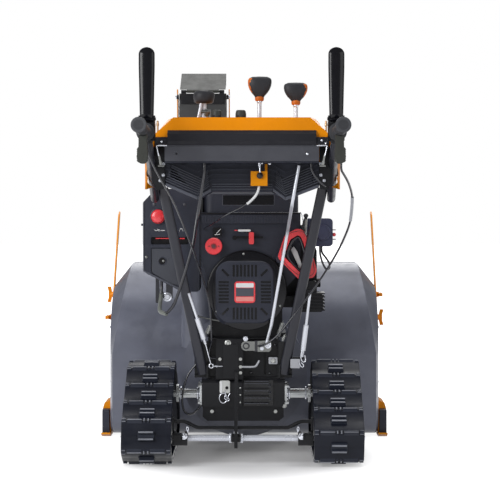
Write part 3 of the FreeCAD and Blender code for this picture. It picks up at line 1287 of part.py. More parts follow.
def cables():
    """Hoses, control cables and leads, each along its own way round the machine."""
    hose = cord("hose", [(-103, -480, 873.6), (-103, -480, 850), (-112, -466, 800), (-122, -448, 735),
                         (-132, -365, 692), (-142, -280, 645), (-163, -215, 580), (-186, -168, 512),
                         (-205, -152, 462), (-229, -140, 436), (-250, -115, 446), (-249, -72, 470),
                         (-246, -56, 505), (-246, -56, 545)], 4.5)
    left = cord("left control cable", [(-252, -621, 929.8), (-252, -621, 905), (-238, -590, 866),
                                       (-220, -545, 828), (-190, -470, 772),
                                       (-166, -400, 705), (-144, -315, 640), (-124, -210, 565), (-108, -150,
                                                                                                 508),
                                       (-98, -124, 455), (-95, -112, 394), (-94, -98, 352), (-101, -80, 328),
                                       (-106, -78.5, 300), (-82.5, -78.5, 300)], 2.5)
    right = cord("right control cable", [(262, -684, 866.6), (262, -684, 850), (282, -640, 822),
                                         (297, -570, 792),
                                         (303, -510, 755), (299, -440, 705), (280, -350, 646), (255, -262,
                                                                                                592),
                                         (222, -192, 534), (172, -146, 462), (132, -132, 408), (98, -124,
                                                                                                366),
                                         (62, -112, 342), (47, -98, 338), (46, -87.3, 338)], 3.0)
    choke = cord("choke cable", [(47, -462, 811.7), (45, -460, 795), (30, -454, 775), (-2, -400, 752),
                                 (-46, -320, 732), (-84, -230, 708), (-110, -150, 694), (-117, -100, 689),
                                 (-118, -70.3, 688)], 2.0)
    loom = cord("switch lead", [(190, -478, 873.6), (190, -478, 856), (203, -474, 834), (219, -468, 818),
                                (230, -462, 811), (230, -451.5, 811)], 3.0)
    leads = cord("starter lead", [(232, -24, 635.6), (232, -24, 612), (240, -22, 584), (250, -17, 566),
                                  (262, -12, 566),
                                  (262, -8, 584), (250, -4, 602), (238, -2, 616), (238, -2, 635.6)], 3.0)
    return group([hose.cut(intake_box()), left, right, choke, loom, leads])


def save(name, shape):
    shape.exportStep("parts/" + name + ".step")
    print(name, "solids", len(shape.Solids), "valid", shape.isValid())


def main():
    os.makedirs("parts", exist_ok=True)
    right_track = track()
    auger_half = auger_flights()
    pieces = {
        "track_right": right_track,
        "track_left": mirrored(right_track),
        "track_frames": both_sides(track_frame()),
        "idlers": both_sides(idlers()),
        "sprockets": both_sides(sprocket()),
        "cross_rod": cross_rod(),
        "rod_brackets": both_sides(rod_brackets()),
        "link_bars": group([link_bar(), lock_bar()]),
        "transmission_case": transmission_case(),
        "case_pan": case_pan(),
        "louvre_cover": louvre_cover(),
        "axle": axle(),
        "engine_deck": engine_deck(),
        "frame_brackets": group([shift_bracket(), bar_brackets(), rod_tabs()]),
        "shift_arm": shift_arm(),
        "case_bolts": case_bolts(),
        "belt_cover": belt_cover(),
        "auger_housing": auger_housing(),
        "impeller_drum": impeller_drum(),
        "scraper_bar": scraper_bar(),
        "auger_bearings": auger_bearings(),
        "gearcase": gearcase(),
        "auger_shaft": auger_shaft(),
        "auger_flights": both_sides(auger_half),
        "impeller": impeller(),
        "skid_brackets": both_sides(skid_bracket()),
        "skid_pads": both_sides(skid_pad()),
        "drift_cutters": both_sides(drift_cutter()),
        "cutter_knobs": cutter_knobs(),
        "chute_body": chute_body(),
        "chute_edges": chute_edges(),
        "chute_hinge": chute_hinge(),
        "deflector": deflector(),
        "engine_block": engine_block(),
        "engine_shroud": group([engine_shroud(), pull_seat()]),
        "fuel_tank": group([fuel_tank(), tank_cap()]),
        "recoil_cover": recoil_cover(),
        "pull_handle": pull_handle(),
        "intake_box": intake_box(),
        "red_controls": red_controls(),
        "muffler": muffler(),
        "electric_starter": group([starter_motor(), starter_box()]),
        "lower_bars": lower_bars(),
        "upper_tubes": both_sides(upper_tube()),
        "grips": both_sides(grip()),
        "grip_clamps": both_sides(paddle_fork()),
        "right_paddle": paddle(),
        "left_paddle": mirrored(paddle()),
        "triggers": both_sides(trigger()),
        "console_cover": console_cover(),
        "console_band": group([console_band(), switches()]),
        "console_panel": console_panel(),
        "console_tray": console_tray(),
        "console_brackets": console_brackets(),
        "control_rods": group([lever_shafts(), speed_rod(), side_rods()]),
        "hose_bracket": hose_bracket(),
        "headlamp": headlamp(),
        "lever_knobs": lever_knobs(),
        "cables": cables(),
    }
    for name, shape in pieces.items():
        save(name, shape)


main()
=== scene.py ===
"""Looks of the tracked snow blower: materials, fasteners, tread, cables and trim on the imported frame."""
import json
import math

import bmesh
import bpy
from mathutils import Matrix, Vector


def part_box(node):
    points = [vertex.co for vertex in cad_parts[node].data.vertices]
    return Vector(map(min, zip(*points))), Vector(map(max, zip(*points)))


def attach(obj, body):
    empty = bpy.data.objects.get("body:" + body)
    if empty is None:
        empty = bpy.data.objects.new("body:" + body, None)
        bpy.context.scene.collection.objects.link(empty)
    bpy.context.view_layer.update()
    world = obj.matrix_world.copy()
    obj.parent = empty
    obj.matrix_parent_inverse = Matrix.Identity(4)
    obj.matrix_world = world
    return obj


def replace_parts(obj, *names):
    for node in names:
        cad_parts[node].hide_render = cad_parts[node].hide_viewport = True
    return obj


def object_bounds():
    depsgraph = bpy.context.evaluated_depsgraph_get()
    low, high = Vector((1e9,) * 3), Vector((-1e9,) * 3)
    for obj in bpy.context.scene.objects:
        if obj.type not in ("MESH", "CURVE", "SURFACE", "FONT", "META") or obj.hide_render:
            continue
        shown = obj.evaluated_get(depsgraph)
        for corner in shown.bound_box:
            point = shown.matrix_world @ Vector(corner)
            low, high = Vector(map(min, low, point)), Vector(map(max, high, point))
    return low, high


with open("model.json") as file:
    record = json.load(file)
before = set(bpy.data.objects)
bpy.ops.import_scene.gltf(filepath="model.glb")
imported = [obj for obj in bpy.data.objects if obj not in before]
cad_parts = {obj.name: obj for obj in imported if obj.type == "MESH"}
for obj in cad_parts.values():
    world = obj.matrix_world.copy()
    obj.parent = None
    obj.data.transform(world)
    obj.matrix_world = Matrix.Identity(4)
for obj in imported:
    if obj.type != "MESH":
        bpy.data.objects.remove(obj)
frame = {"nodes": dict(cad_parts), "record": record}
CAD_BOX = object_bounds()
NODES = frame["nodes"]
MM = 0.001
UP = Vector((0, 0, 1))
REAR = Vector((0, -1, 0))
SIDES = ((-1, "left"), (1, "right"))


# ---- materials ----

def shade(tree, kind, sockets=(), **traits):
    """A shader node whose sockets hold a value or are linked to another node's output."""
    node = tree.nodes.new("ShaderNode" + kind)
    for trait, value in traits.items():
        setattr(node, trait, value)
    for socket, value in dict(sockets).items():
        if isinstance(value, bpy.types.NodeSocket):
            tree.links.new(value, node.inputs[socket])
        else:
            node.inputs[socket].default_value = value
    return node


def noise(tree, scale, detail=3.0):
    place = shade(tree, "TexCoord").outputs["Object"]
    return shade(tree, "TexNoise", {"Scale": scale, "Detail": detail, "Roughness": 0.55,
        "Vector": place}).outputs["Fac"]


def spread(tree, value, low, high, start=0.35, stop=0.65):
    """A value stretched so that start to stop runs from low to high."""
    return shade(tree, "MapRange", {"Value": value, "From Min": start, "From Max": stop, "To Min": low,
        "To Max": high}).outputs[0]


def blend(tree, factor, one, two):
    return shade(tree, "Mix", {0: factor, 6: one, 7: two}, data_type="RGBA").outputs[2]


def tint(colour, gain=1.0, lift=0.0):
    return tuple(min(1.0, c * gain + lift) for c in colour) + (1.0,)


def new_tree(name):
    material = bpy.data.materials.new(name)
    material.use_nodes = True
    material.node_tree.nodes.clear()
    return material, material.node_tree


FINISHES = {}


def surface(name, colour, rough, scale, relief, metal=0.0, patch=0.12, edge_wear_and_sheen=0.0, edge_colour=None, coat=0.0,
            spec=0.5):
    """A finish: its colour in soft patches, dulled unevenly, with a fine grain and lightened sharp edges,
    which are wear on most finishes and a painted highlight on the tread rubber and the rib grey.

    A finish that the record doesn't have counts as the slot that stands closest to it.
    """
    material, tree = new_tree(name)
    tone = blend(tree, spread(tree, noise(tree, 9.0, 5.0), 0.0, 1.0), tint(colour, 1 - patch),
        tint(colour, 1 + patch))
    # Lightened sharp edges: rubbed wear on most finishes, a painted highlight on the tread rubber and the rib
    # grey.
    if edge_wear_and_sheen:
        edge_wear_and_sheen_mask = spread(tree, shade(tree, "NewGeometry").outputs["Pointiness"], 0.0, edge_wear_and_sheen, 0.51, 0.57)
        tone = blend(tree, edge_wear_and_sheen_mask, tone, tint(edge_colour) if edge_colour else tint(colour, 1.9, 0.02))
    dull = spread(tree, noise(tree, 30.0, 4.0), max(0.03, rough * 0.82), min(1.0, rough * 1.18))
    bump = shade(tree, "Bump", {"Strength": relief, "Distance": 0.0006, "Height": noise(tree, scale)})
    sockets = {"Base Color": tone, "Roughness": dull, "Metallic": metal, "Specular IOR Level": spec,
        "Normal": bump.outputs[0]}
    if coat:
        sockets.update({"Coat Weight": coat, "Coat Roughness": 0.12})
    body = shade(tree, "BsdfPrincipled", sockets)
    shade(tree, "OutputMaterial", {"Surface": body.outputs[0]})
    FINISHES[name] = material


# The tread rubber's lightened edges, in a pale blue-grey, are a painted highlight on its lugs.
surface("track_rubber", (0.0034, 0.0044, 0.0096), 0.36, 700, 0.2, patch=0.2, edge_wear_and_sheen=0.4,
    edge_colour=(0.044, 0.05, 0.07), spec=0.19)
surface("black_steel", (0.0040, 0.0043, 0.0058), 0.36, 1500, 0.16, edge_wear_and_sheen=0.2, spec=0.2)
surface("housing_paint", (0.100, 0.107, 0.141), 0.36, 2600, 0.12, metal=0.2, edge_wear_and_sheen=0.15, coat=0.1)
surface("orange_paint", (0.66, 0.232, 0.0), 0.36, 1400, 0.14, patch=0.05, spec=0.22)
surface("orange_plastic", (0.68, 0.222, 0.0), 0.34, 1800, 0.08, patch=0.04, spec=0.2)
surface("engine_plastic", (0.0175, 0.0198, 0.0310), 0.4, 2200, 0.3, edge_wear_and_sheen=0.12, spec=0.26)
surface("gloss_black", (0.0035, 0.0035, 0.0055), 0.2, 300, 0.03, coat=0.12, spec=0.2)
surface("grip_rubber", (0.030, 0.031, 0.035), 0.6, 1600, 0.4, patch=0.1, spec=0.22)
surface("panel_grey", (0.053, 0.055, 0.067), 0.4, 1700, 0.14, metal=0.15, patch=0.06, spec=0.4)
surface("red_plastic", (0.66, 0.036, 0.046), 0.28, 1500, 0.08, patch=0.05, coat=0.3)
surface("chrome", (0.62, 0.64, 0.70), 0.24, 500, 0.05, metal=1.0, patch=0.06)
surface("zinc", (0.42, 0.43, 0.42), 0.34, 900, 0.12, metal=0.9, patch=0.16)
surface("cast_metal", (0.0060, 0.0064, 0.0080), 0.5, 420, 0.6, metal=0.2, patch=0.2, spec=0.25)
surface("deflector_paint", (0.021, 0.022, 0.019), 0.42, 1500, 0.15, spec=0.3)
surface("lamp_lens", (0.55, 0.57, 0.6), 0.12, 260, 0.3, coat=0.4)
surface("knob_plastic", (0.020, 0.0205, 0.0245), 0.5, 2000, 0.3, spec=0.25)
surface("cable_black", (0.0055, 0.0062, 0.0125), 0.2, 1200, 0.05, coat=0.3, spec=0.45)
surface("white_plastic", (0.62, 0.63, 0.64), 0.35, 1500, 0.1, patch=0.05)
surface("light_grey", (0.33, 0.34, 0.37), 0.4, 1500, 0.1, patch=0.05)
surface("navy_plastic", (0.042, 0.047, 0.088), 0.42, 2000, 0.25, patch=0.1, spec=0.3)
surface("pale_red", (0.62, 0.22, 0.2), 0.35, 1500, 0.1, patch=0.05)
# A grey well above the black it lies on, with strongly lightened edges: a painted highlight on the tray's
# ribs and along the louvres; on the badge and the rims it is their own grey.
surface("grey_and_rib_highlight", (0.030, 0.033, 0.046), 0.36, 2000, 0.2, patch=0.1, edge_wear_and_sheen=0.5)
surface("orange_insert", (0.50, 0.115, 0.008), 0.4, 1600, 0.12, patch=0.06, spec=0.25)
# Pale grey of the strips on the tread's crests and ridges: a painted highlight.
surface("crest_highlight_rubber", (0.150, 0.158, 0.185), 0.42, 900, 0.2, patch=0.25)
surface("tube_steel", (0.0130, 0.0138, 0.0205), 0.36, 1500, 0.16, edge_wear_and_sheen=0.2, spec=0.35)
surface("dark_cover", (0.0070, 0.0072, 0.0088), 0.3, 1500, 0.2, patch=0.15, spec=0.35)
surface("dull_zinc", (0.20, 0.205, 0.20), 0.4, 900, 0.12, metal=0.85, patch=0.2)
surface("grip_face", (0.042, 0.044, 0.050), 0.6, 1600, 0.3, patch=0.1, spec=0.3)
surface("chute_paint", (0.030, 0.031, 0.032), 0.4, 2200, 0.12, edge_wear_and_sheen=0.12, spec=0.35)
surface("bright_rod", (0.60, 0.62, 0.68), 0.34, 500, 0.05, metal=0.4, patch=0.05, spec=0.6)
surface("axle_steel", (0.45, 0.465, 0.475), 0.26, 300, 0.02, metal=0.95, patch=0.06)
# Pale grey of the hose's foot: a painted highlight along the hose, on a thicker sheath.
surface("sheath_highlight_grey", (0.125, 0.135, 0.125), 0.36, 900, 0.1, patch=0.1)
surface("pivot_red", (0.16, 0.02, 0.024), 0.4, 1500, 0.1, patch=0.08)
surface("panel_plastic", (0.024, 0.027, 0.038), 0.42, 2200, 0.3, patch=0.1)
# Near-black set into holes, slots, a groove and the recoil ring's gap: painted shade where these openings
# stay dark. The case seam and the clip's core take it too.
surface("hole_dark", (0.003, 0.003, 0.004), 0.7, 900, 0.2, spec=0.2)
surface("band_black", (0.0125, 0.0125, 0.0165), 0.55, 1700, 0.15, patch=0.06, spec=0.18)
surface("olive_rubber", (0.030, 0.032, 0.028), 0.55, 1500, 0.3, patch=0.1, spec=0.25)
surface("plated_rod", (0.50, 0.52, 0.58), 0.30, 500, 0.03, metal=0.45, patch=0.05, spec=0.6)
surface("copper", (0.33, 0.21, 0.12), 0.3, 900, 0.12, metal=0.9)

# Nodes that look a shade away from the rest of their slot.
RECOLOUR = {"upper_tubes": "tube_steel", "lower_bars": "tube_steel", "louvre_cover": "dark_cover",
    "muffler": "black_steel", "chute_body": "chute_paint", "control_rods": "bright_rod",
    "cross_rod": "plated_rod", "console_band": "band_black", "triggers": "olive_rubber",
    "axle": "axle_steel", "engine_block": "black_steel", "electric_starter": "black_steel"}
UNBROKEN = {"cables", "track_left", "track_right"}


def break_edges(obj, width, angle):
    """Rounds an object's edges, by a width in millimetres, where its faces meet at more than angle."""
    edges = obj.modifiers.new("edges", "BEVEL")
    edges.width, edges.segments, edges.limit_method = width * MM, 2, "ANGLE"
    edges.angle_limit = math.radians(angle)
    edges.harden_normals = True


def dress_frame():
    """Gives every CAD node its finish and slightly broken edges."""
    slots = {part["node"]: part["material_slot"] for part in frame["record"]["subparts"]}
    for name, node in NODES.items():
        finish = FINISHES[RECOLOUR.get(name, slots[name])]
        if not node.material_slots:
            node.data.materials.append(finish)
        for held in node.material_slots:
            held.material = finish
        if name not in UNBROKEN:
            break_edges(node, 0.9, 40)


SECTIONS = []


def section(build):
    """Marks a function that adds one group of pieces."""
    SECTIONS.append(build)
    return build


# ---- places, in metres, and offsets from them in millimetres ----

def mm(x, y, z):
    return Vector((x, y, z)) * MM


def corners(node):
    low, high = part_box(node)
    return Vector(low), Vector(high)


def centre(node):
    return sum(corners(node), Vector((0, 0, 0))) / 2


def within(node, shares, *offset):
    """A point of a node's box, by shares of its three sides, and an offset from it."""
    low, high = corners(node)
    return Vector([a + (b - a) * share for a, b, share in zip(low, high, shares)]) + mm(*offset)


def spot(node, across, up, out=0.0):
    """A point on a node's rear face: mm from its middle, from its foot, and behind it."""
    return within(node, (0.5, 0, 0), across, -out, up)


def pair(place):
    """The same place on the left and on the right, each with its sign and tag."""
    return [(s, tag, Vector((s * place.x, place.y, place.z))) for s, tag in SIDES]


def path(node, *steps):
    return [spot(node, *step) for step in steps]


def plane_foot(node):
    """The lower rear edge of a node's box, on the frame's middle plane."""
    low = corners(node)[0]
    return Vector((0, low.y, low.z))


def places(base, way=1):
    """A function of (across, up, along) from base; along runs forward, or back where way is -1."""
    return lambda x, z, y=0.0: base + mm(x, way * y, z)


def facing(place, axis):
    """Matrix that puts local +Z along axis at place."""
    return Matrix.Translation(place) @ Vector(axis).to_track_quat("Z", "Y").to_matrix().to_4x4()


BACK = Matrix(((1, 0, 0, 0), (0, 0, -1, 0), (0, 1, 0, 0), (0, 0, 0, 1)))
FRONT = Matrix(((-1, 0, 0, 0), (0, 0, 1, 0), (0, 1, 0, 0), (0, 0, 0, 1)))


def back(place):
    """Matrix at place with u along +X, v along +Z, drawn out along -Y."""
    return Matrix.Translation(place) @ BACK


# ---- shapes: profiles, outlines, radii and bevels are in millimetres ----

def new_object(name, data):
    obj = bpy.data.objects.new(name, data)
    bpy.context.collection.objects.link(obj)
    return obj


def finish_piece(name, data, finish, bevel=0.0, body="chassis"):
    """Links a mesh or curve as a piece that rides on a body, with its finish and broken edges."""
    obj = new_object(name, data)
    data.materials.append(FINISHES[finish])
    if isinstance(data, bpy.types.Mesh):
        for face in data.polygons:
            face.use_smooth = True
        data.set_sharp_from_angle(angle=math.radians(38))
        if bevel:
            break_edges(obj, bevel, 35)
    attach(obj, body)
    return obj


def mesh_piece(name, bm, finish, bevel=0.0, body="chassis"):
    bmesh.ops.recalc_face_normals(bm, faces=bm.faces)
    mesh = bpy.data.meshes.new(name)
    bm.to_mesh(mesh)
    bm.free()
    return finish_piece(name, mesh, finish, bevel, body)


def join(bm, low, high):
    """Faces between two closed rings, either of which may be a single point."""
    count = max(len(low), len(high))
    for i in range(count):
        j = (i + 1) % count
        ends = low[i % len(low)], low[j % len(low)], high[j % len(high)], high[i % len(high)]
        if len(set(ends)) > 2:
            bm.faces.new(list(dict.fromkeys(ends)))


def block(bm, foot, top):
    """A closed block between two rings."""
    bm.faces.new(foot[::-1])
    bm.faces.new(top)
    join(bm, foot, top)


POINT = 0.001   # a radius under this is a point on the axis


class Form:
    """A mesh while it's put together from turned and drawn shapes."""

    def __init__(self):
        self.bm = bmesh.new()

    def turn(self, profile, place, steps=32, axis=REAR, roll=0.0, bore=False):
        """Adds a turned shape: profile is (radius, height) pairs from foot to tip.

        An end off the axis is closed flat onto it, unless the shape is a ring with a bore.
        """
        if not bore:
            (foot, low), (tip, high) = profile[0], profile[-1]
            profile = [(0, low)] * (foot > POINT) + profile + [(0, high)] * (tip > POINT)
        matrix = facing(place, axis) @ Matrix.Rotation(roll, 4, "Z")
        rings = [[self.bm.verts.new(matrix @ mm(radius * c, radius * s, height))
            for c, s in circle(steps)[:steps if radius > POINT else 1]] for radius, height in profile]
        for low, high in zip(rings, rings[1:]):
            join(self.bm, low, high)
        if bore:
            self.bm.faces.new(rings[0])
            self.bm.faces.new(rings[-1])
        return self

    def draw(self, outline, low, high, matrix):
        """Adds a closed outline of (u, v) pairs drawn out from low to high along the matrix's Z."""
        foot, top = ([self.bm.verts.new(matrix @ mm(u, v, h)) for u, v in outline] for h in (low, high))
        block(self.bm, foot, top)
        return self

    def done(self, name, finish, bevel=0.0, body="chassis"):
        return mesh_piece(name, self.bm, finish, bevel, body)


def circle(count):
    """Points of a circle of radius 1."""
    return [(math.cos(2 * math.pi * i / count), math.sin(2 * math.pi * i / count)) for i in range(count)]


def turned(name, finish, profile, place, steps=32, axis=REAR, bevel=0.0, body="chassis", bore=False):
    """A piece that is one turned shape."""
    return Form().turn(profile, place, steps, axis, 0.0, bore).done(name, finish, bevel, body)


def drawn(name, finish, outline, low, high, matrix, bevel=0.0):
    """A piece that is one drawn shape."""
    return Form().draw(outline, low, high, matrix).done(name, finish, bevel)


def rounded(width, height, radius, steps=5):
    """Outline of a rectangle with round corners, centred."""
    points = []
    for cx, cy, start in ((1, 1, 0), (-1, 1, 90), (-1, -1, 180), (1, -1, 270)):
        for i in range(steps + 1):
            turn = math.radians(start + 90 * i / steps)
            points.append((cx * (width / 2 - radius) + radius * math.cos(turn),
                cy * (height / 2 - radius) + radius * math.sin(turn)))
    return points


def bolts(name, heads, finish="zinc", body="chassis"):
    """Hexagon heads on washers, one mesh: each head is (place, radius) and its axis if not the rear."""
    form = Form()
    for n, (place, r, *axis) in enumerate(heads):
        axis = axis[0] if axis else REAR
        form.turn([(r * 1.55, -1), (r * 1.55, 1), (r * 1.45, 1.4)], place, 20, axis)
        form.turn([(r, 1), (r, r * 0.75), (r * 0.86, r * 0.95)], place, 6, axis, 0.5 * n)
    return form.done(name, finish, 0.0, body)


def domes(name, heads, finish="zinc"):
    """Round pan heads with a recess, one mesh, from the same rows."""
    form = Form()
    for place, r, *axis in heads:
        dome = [(r * math.cos(t), r * 0.55 * math.sin(t)) for t in (0.35, 0.75, 1.15)]
        form.turn([(r, -0.5), *dome, (r * 0.22, r * 0.53), (r * 0.16, r * 0.34), (0, r * 0.32)], place, 20,
            axis[0] if axis else REAR)
    return form.done(name, finish)


def wire(name, points, radius, finish, closed=False, body="chassis"):
    """A smooth round wire or cable along points."""
    curve = bpy.data.curves.new(name, "CURVE")
    curve.dimensions = "3D"
    spline = curve.splines.new("NURBS")
    spline.points.add(len(points) - 1)
    for held, point in zip(spline.points, points):
        held.co = (*point, 1)
    spline.order_u = 3
    spline.use_endpoint_u = not closed
    spline.use_cyclic_u = closed
    spline.resolution_u = 8
    curve.bevel_depth, curve.bevel_resolution, curve.use_fill_caps = radius * MM, 4, True
    return finish_piece(name, curve, finish, 0.0, body)


def helix(start, end, radius, turns, per_turn=12):
    """Points of a coil round the line from start to end, with short straight tails."""
    matrix = facing(start, end - start)
    length, count = (end - start).length, int(turns * per_turn)
    points = [start]
    for i in range(count + 1):
        c, s = circle(per_turn)[i % per_turn]
        points.append(matrix @ (mm(radius * c, radius * s, 0) + UP * length * (0.12 + 0.76 * i / count)))
    return points + [end]


def plate(name, node, across, up, wide, tall, radius, out, deep, finish, bevel=0.3):
    """A round-cornered plate on a node's rear face."""
    drawn(name, finish, rounded(wide, tall, radius), 0, deep, back(spot(node, across, up, out)), bevel)


def strip(name, node, lines, width, out, deep, finish, bevel=0.4):
    """Raised lines of even height along points (across, up) of a node's rear face."""
    form = Form()
    for line in lines:
        upper = [(x, z + width / 2) for x, z in line]
        lower = [(x, z - width / 2) for x, z in reversed(line)]
        form.draw(upper + lower, 0, deep, back(spot(node, 0, 0, out)))
    return form.done(name, finish, bevel)


# ---- tracks ----

def belt_loop(circles):
    """A function of length along the belt's outer line round three wheels, and its whole length."""
    pieces, total = [], 0.0
    following = circles[1:] + circles[:1]
    tangents = []
    for (ya, za, ra), (yb, zb, rb) in zip(circles, following):
        gap = Vector((yb - ya, zb - za))
        tangents.append(math.atan2(gap.y, gap.x) - math.pi / 2 + math.asin((ra - rb) / gap.length))
    for i, ((y, z, r), (yb, zb, rb)) in enumerate(zip(circles, following)):
        start, stop = tangents[i - 1], tangents[i]
        while stop < start - 1e-9:
            stop += 2 * math.pi
        pieces.append(("arc", total, (y, z, r, start)))
        total += r * (stop - start)
        out = Vector((math.cos(stop), math.sin(stop)))
        a, b = Vector((y, z)) + out * r, Vector((yb, zb)) + out * rb
        pieces.append(("run", total, (a, (b - a).normalized(), out)))
        total += (b - a).length

    def at(s):
        s %= total
        kind, begun, what = [p for p in pieces if p[1] <= s + 1e-9][-1]
        if kind == "arc":
            y, z, r, start = what
            turn = start + (s - begun) / r
            out = Vector((math.cos(turn), math.sin(turn)))
            return Vector((y, z)) + out * r, out
        a, along, out = what
        return a + along * (s - begun), out
    return at, total


# Where the first crest stands along each belt, as a share of the pitch.
TREAD_PHASE = {"right": 0.5, "left": 0.1}


def tread(tag):
    """Moulded belt: scalloped between sharp crests, with a double-ridged block in each hollow.

    The crests and the ridges carry pale strips of a finish of their own, a painted highlight. All in
    millimetres.
    """
    low, high = (corner / MM for corner in corners("track_" + tag))
    middle, half = (low.x + high.x) / 2, (high.x - low.x) / 2
    rear, drive = centre("cross_rod") / MM, centre("axle") / MM
    lug = 18
    idler = rear.z - low.z - lug
    at, total = belt_loop([(rear.y, rear.z, idler), (high.y - lug - idler, rear.z, idler),
        (drive.y, drive.z, high.z - lug - drive.z)])
    count = round(total / 81)
    pitch = total / count
    shift = TREAD_PHASE[tag] * pitch

    def put(bm, s, x, n):
        place, out = at(s)
        place = place + out * n
        return bm.verts.new(mm(middle + x, place.x, place.y))

    def bar(bm, s, x0, x1, foot, crest, n0, n1, slant=0.0):
        """A block across the belt at s, narrower at its crest; slant draws its ends in."""
        ends = ((foot, x0, x1, n0), (crest, x0 + slant, x1 - slant, n1))
        block(bm, *([put(bm, s + ds, x, n) for ds, x in ((-w, a), (-w, b), (w, b), (w, a))]
            for w, a, b, n in ends))

    def swell(s):
        """Height of the moulded surface at s: it rises to every crest from a hollow between two."""
        away = abs((s - shift) / pitch - round((s - shift) / pitch)) * 2
        return 11.5 * (1 - away) ** 1.5

    belt, edges = bmesh.new(), bmesh.new()
    steps = count * 20
    rings = []
    for i in range(steps):
        s = shift + total * i / steps
        n = swell(s)
        rings.append([put(belt, s, x, h) for x, h in ((-half, -8), (-half, n - 1.5), (1.5 - half, n),
            (half - 1.5, n), (half, n - 1.5), (half, -8))])
    for one, two in zip(rings, rings[1:] + rings[:1]):
        join(belt, one, two)
    for i in range(count):
        s = shift + i * pitch
        for x0, x1 in ((16.5 - half, -11.5), (11.5, half - 16.5)):
            bar(belt, s, x0, x1, 9.5, 1.4, 6, lug - 2.2, 1.2)
            bar(edges, s, x0 + 1, x1 - 1, 1.7, 0.8, 12.5, lug - 0.8, 0.6)
        for x in (-5.8, 5.8):
            bar(belt, s, x - 3, x + 3, 7.5, 4, 6, lug - 3, 0.4)
            bar(edges, s, x - 2.1, x + 2.1, 4.6, 3.4, 12, lug - 1.2, 0.4)
        for x0, x1 in ((1 - half, 13.5 - half), (half - 13.5, half - 1)):
            bar(belt, s, x0, x1, 8.5, 5.8, 2, lug - 4.4, 0.6)
            for ds in (-4.8, 4.8):
                bar(edges, s + ds, x0, x1, 1, 0.6, 6, lug - 3.4, 0.6)
        s += pitch / 2
        bar(belt, s, -24.5, 24.5, 15, 12.5, -2, 5, 1.2)
        for ds in (-8.5, 8.5):
            bar(belt, s + ds, -22.5, 22.5, 4.2, 3, 3, 11.8, 1.2)
            bar(edges, s + ds, -21.5, 21.5, 2.5, 1.8, 10, 13.4, 0.6)
        for x in (-16, 16):
            bar(belt, s, x - 6, x + 6, 12, 6, -7, -17, 1)
    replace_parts(mesh_piece("tread_" + tag, belt, "track_rubber", 0.6, "undercarriage"), "track_" + tag)
    # Pale strips on the crests and the ridges: a painted highlight.
    mesh_piece("tread_edges_" + tag, edges, "crest_highlight_rubber", 0.0, "undercarriage")


# ---- console, levers and grips ----

@section
def panel_fasteners():
    """Bolt in the panel's right hole, a plug behind the left one, and the bracket's screws."""
    left, right = path("console_panel", (-178, 20, -0.6), (178, 20, -0.6))
    plugs = Form()
    for place in (left, right):
        plugs.turn([(6.4, -3), (6.4, 0), (0, 0.2)], place, 24)
    plugs.done("panel_plugs", "panel_grey")
    # Near-black disc in the left hole: painted shade inside it.
    turned("panel_hole", "hole_dark", [(2.8, -1), (2.8, 0.6)], left, 16)
    domes("panel_bolt", [(spot("console_panel", 178, 20, -0.3), 3.6)], "chrome")
    heads = [(s * x, z) for s in (-1, 1) for x, z in ((217, 72), (218, 41), (227, 26))]
    bolts("bracket_bolts", [(spot("console_brackets", x, z, 0.2), 3) for x, z in heads], "chrome")
    domes("band_screws",
        [(spot("console_band", x, z, -3), 3.2) for x, z in ((-218, 9), (228, 4), (217, 12))], "chrome")


@section
def shift_links():
    """Plated crank rods at both ends of the panel, with their clevises."""
    for s, tag in SIDES:
        wire("link_" + tag, path("console_band", (s * 203, -2, 3), (s * 224, -2, 3), (s * 232, -2, 3),
            (s * 230, -10, 3), (s * 225, -30, 1)), 1.7, "chrome")
        foot, tip, low = path("console_band", (s * 225, -27, 1), (s * 220, -56, -20), (s * 229, 29, -14))
        clevis = Form().turn([(2.4, 0), (3, 6), (3, 20), (4.2, 22), (4.2, 31)], foot, 6, tip - foot)
        clevis.turn([(2.8, 0), (2.8, 16)], tip - mm(s * 8, 0, 0), 12, (s, 0, 0))
        clevis.done("clevis_" + tag, "dull_zinc")
        turned("flank_stud_" + tag, "copper", [(2.6, -6), (2.6, 22), (3.8, 23), (3.8, 29), (3, 31), (3, 36),
            (0, 38)], low, 14, UP)


@section
def tray_ribs():
    """Nested ribs that follow the tray's W-shaped lower edge, over its two broad bands, in a grey lighter
    than the tray that is a painted highlight on the ribs.
    """
    left, right = [(-212, 37), (-123, -1)], [(120, -3), (212, 33)]
    ribs = []
    for i in range(8):
        rise, inner = 17 + 6.0 * i, 84 + (20 + 1.2 * i) * 0.4
        ribs.append([(x * (1 - 0.012 * i), z + rise) for x, z in left] + [(-inner, 22 + rise)])
        ribs.append([(inner, 22 + rise)] + [(x * (1 - 0.012 * i), z + rise) for x, z in right])
    bands = [[(x, z + 6) for x, z in left], [(-122, 6), (-86, 28)], [(86, 28), (119, 4)],
        [(x, z + 6) for x, z in right]]
    bars = [[(-84, 30 + 7 * i), (84, 30 + 7 * i)] for i in range(3)]
    walls = [[(-198, 92), (-198, 62), (-150, 40)], [(188, 92), (200, 70), (196, 44)]]
    for name, lines, width, deep, bevel in (
            ("tray_ribs", ribs, 2, 6, 0.4), ("tray_bands", bands, 9, 4, 1),
            ("tray_bars", bars, 1.6, 3, 0.4), ("tray_walls", walls, 3, 5, 0.4)):
        strip(name, "console_tray", lines, width, -81.2, deep, "grey_and_rib_highlight", bevel)


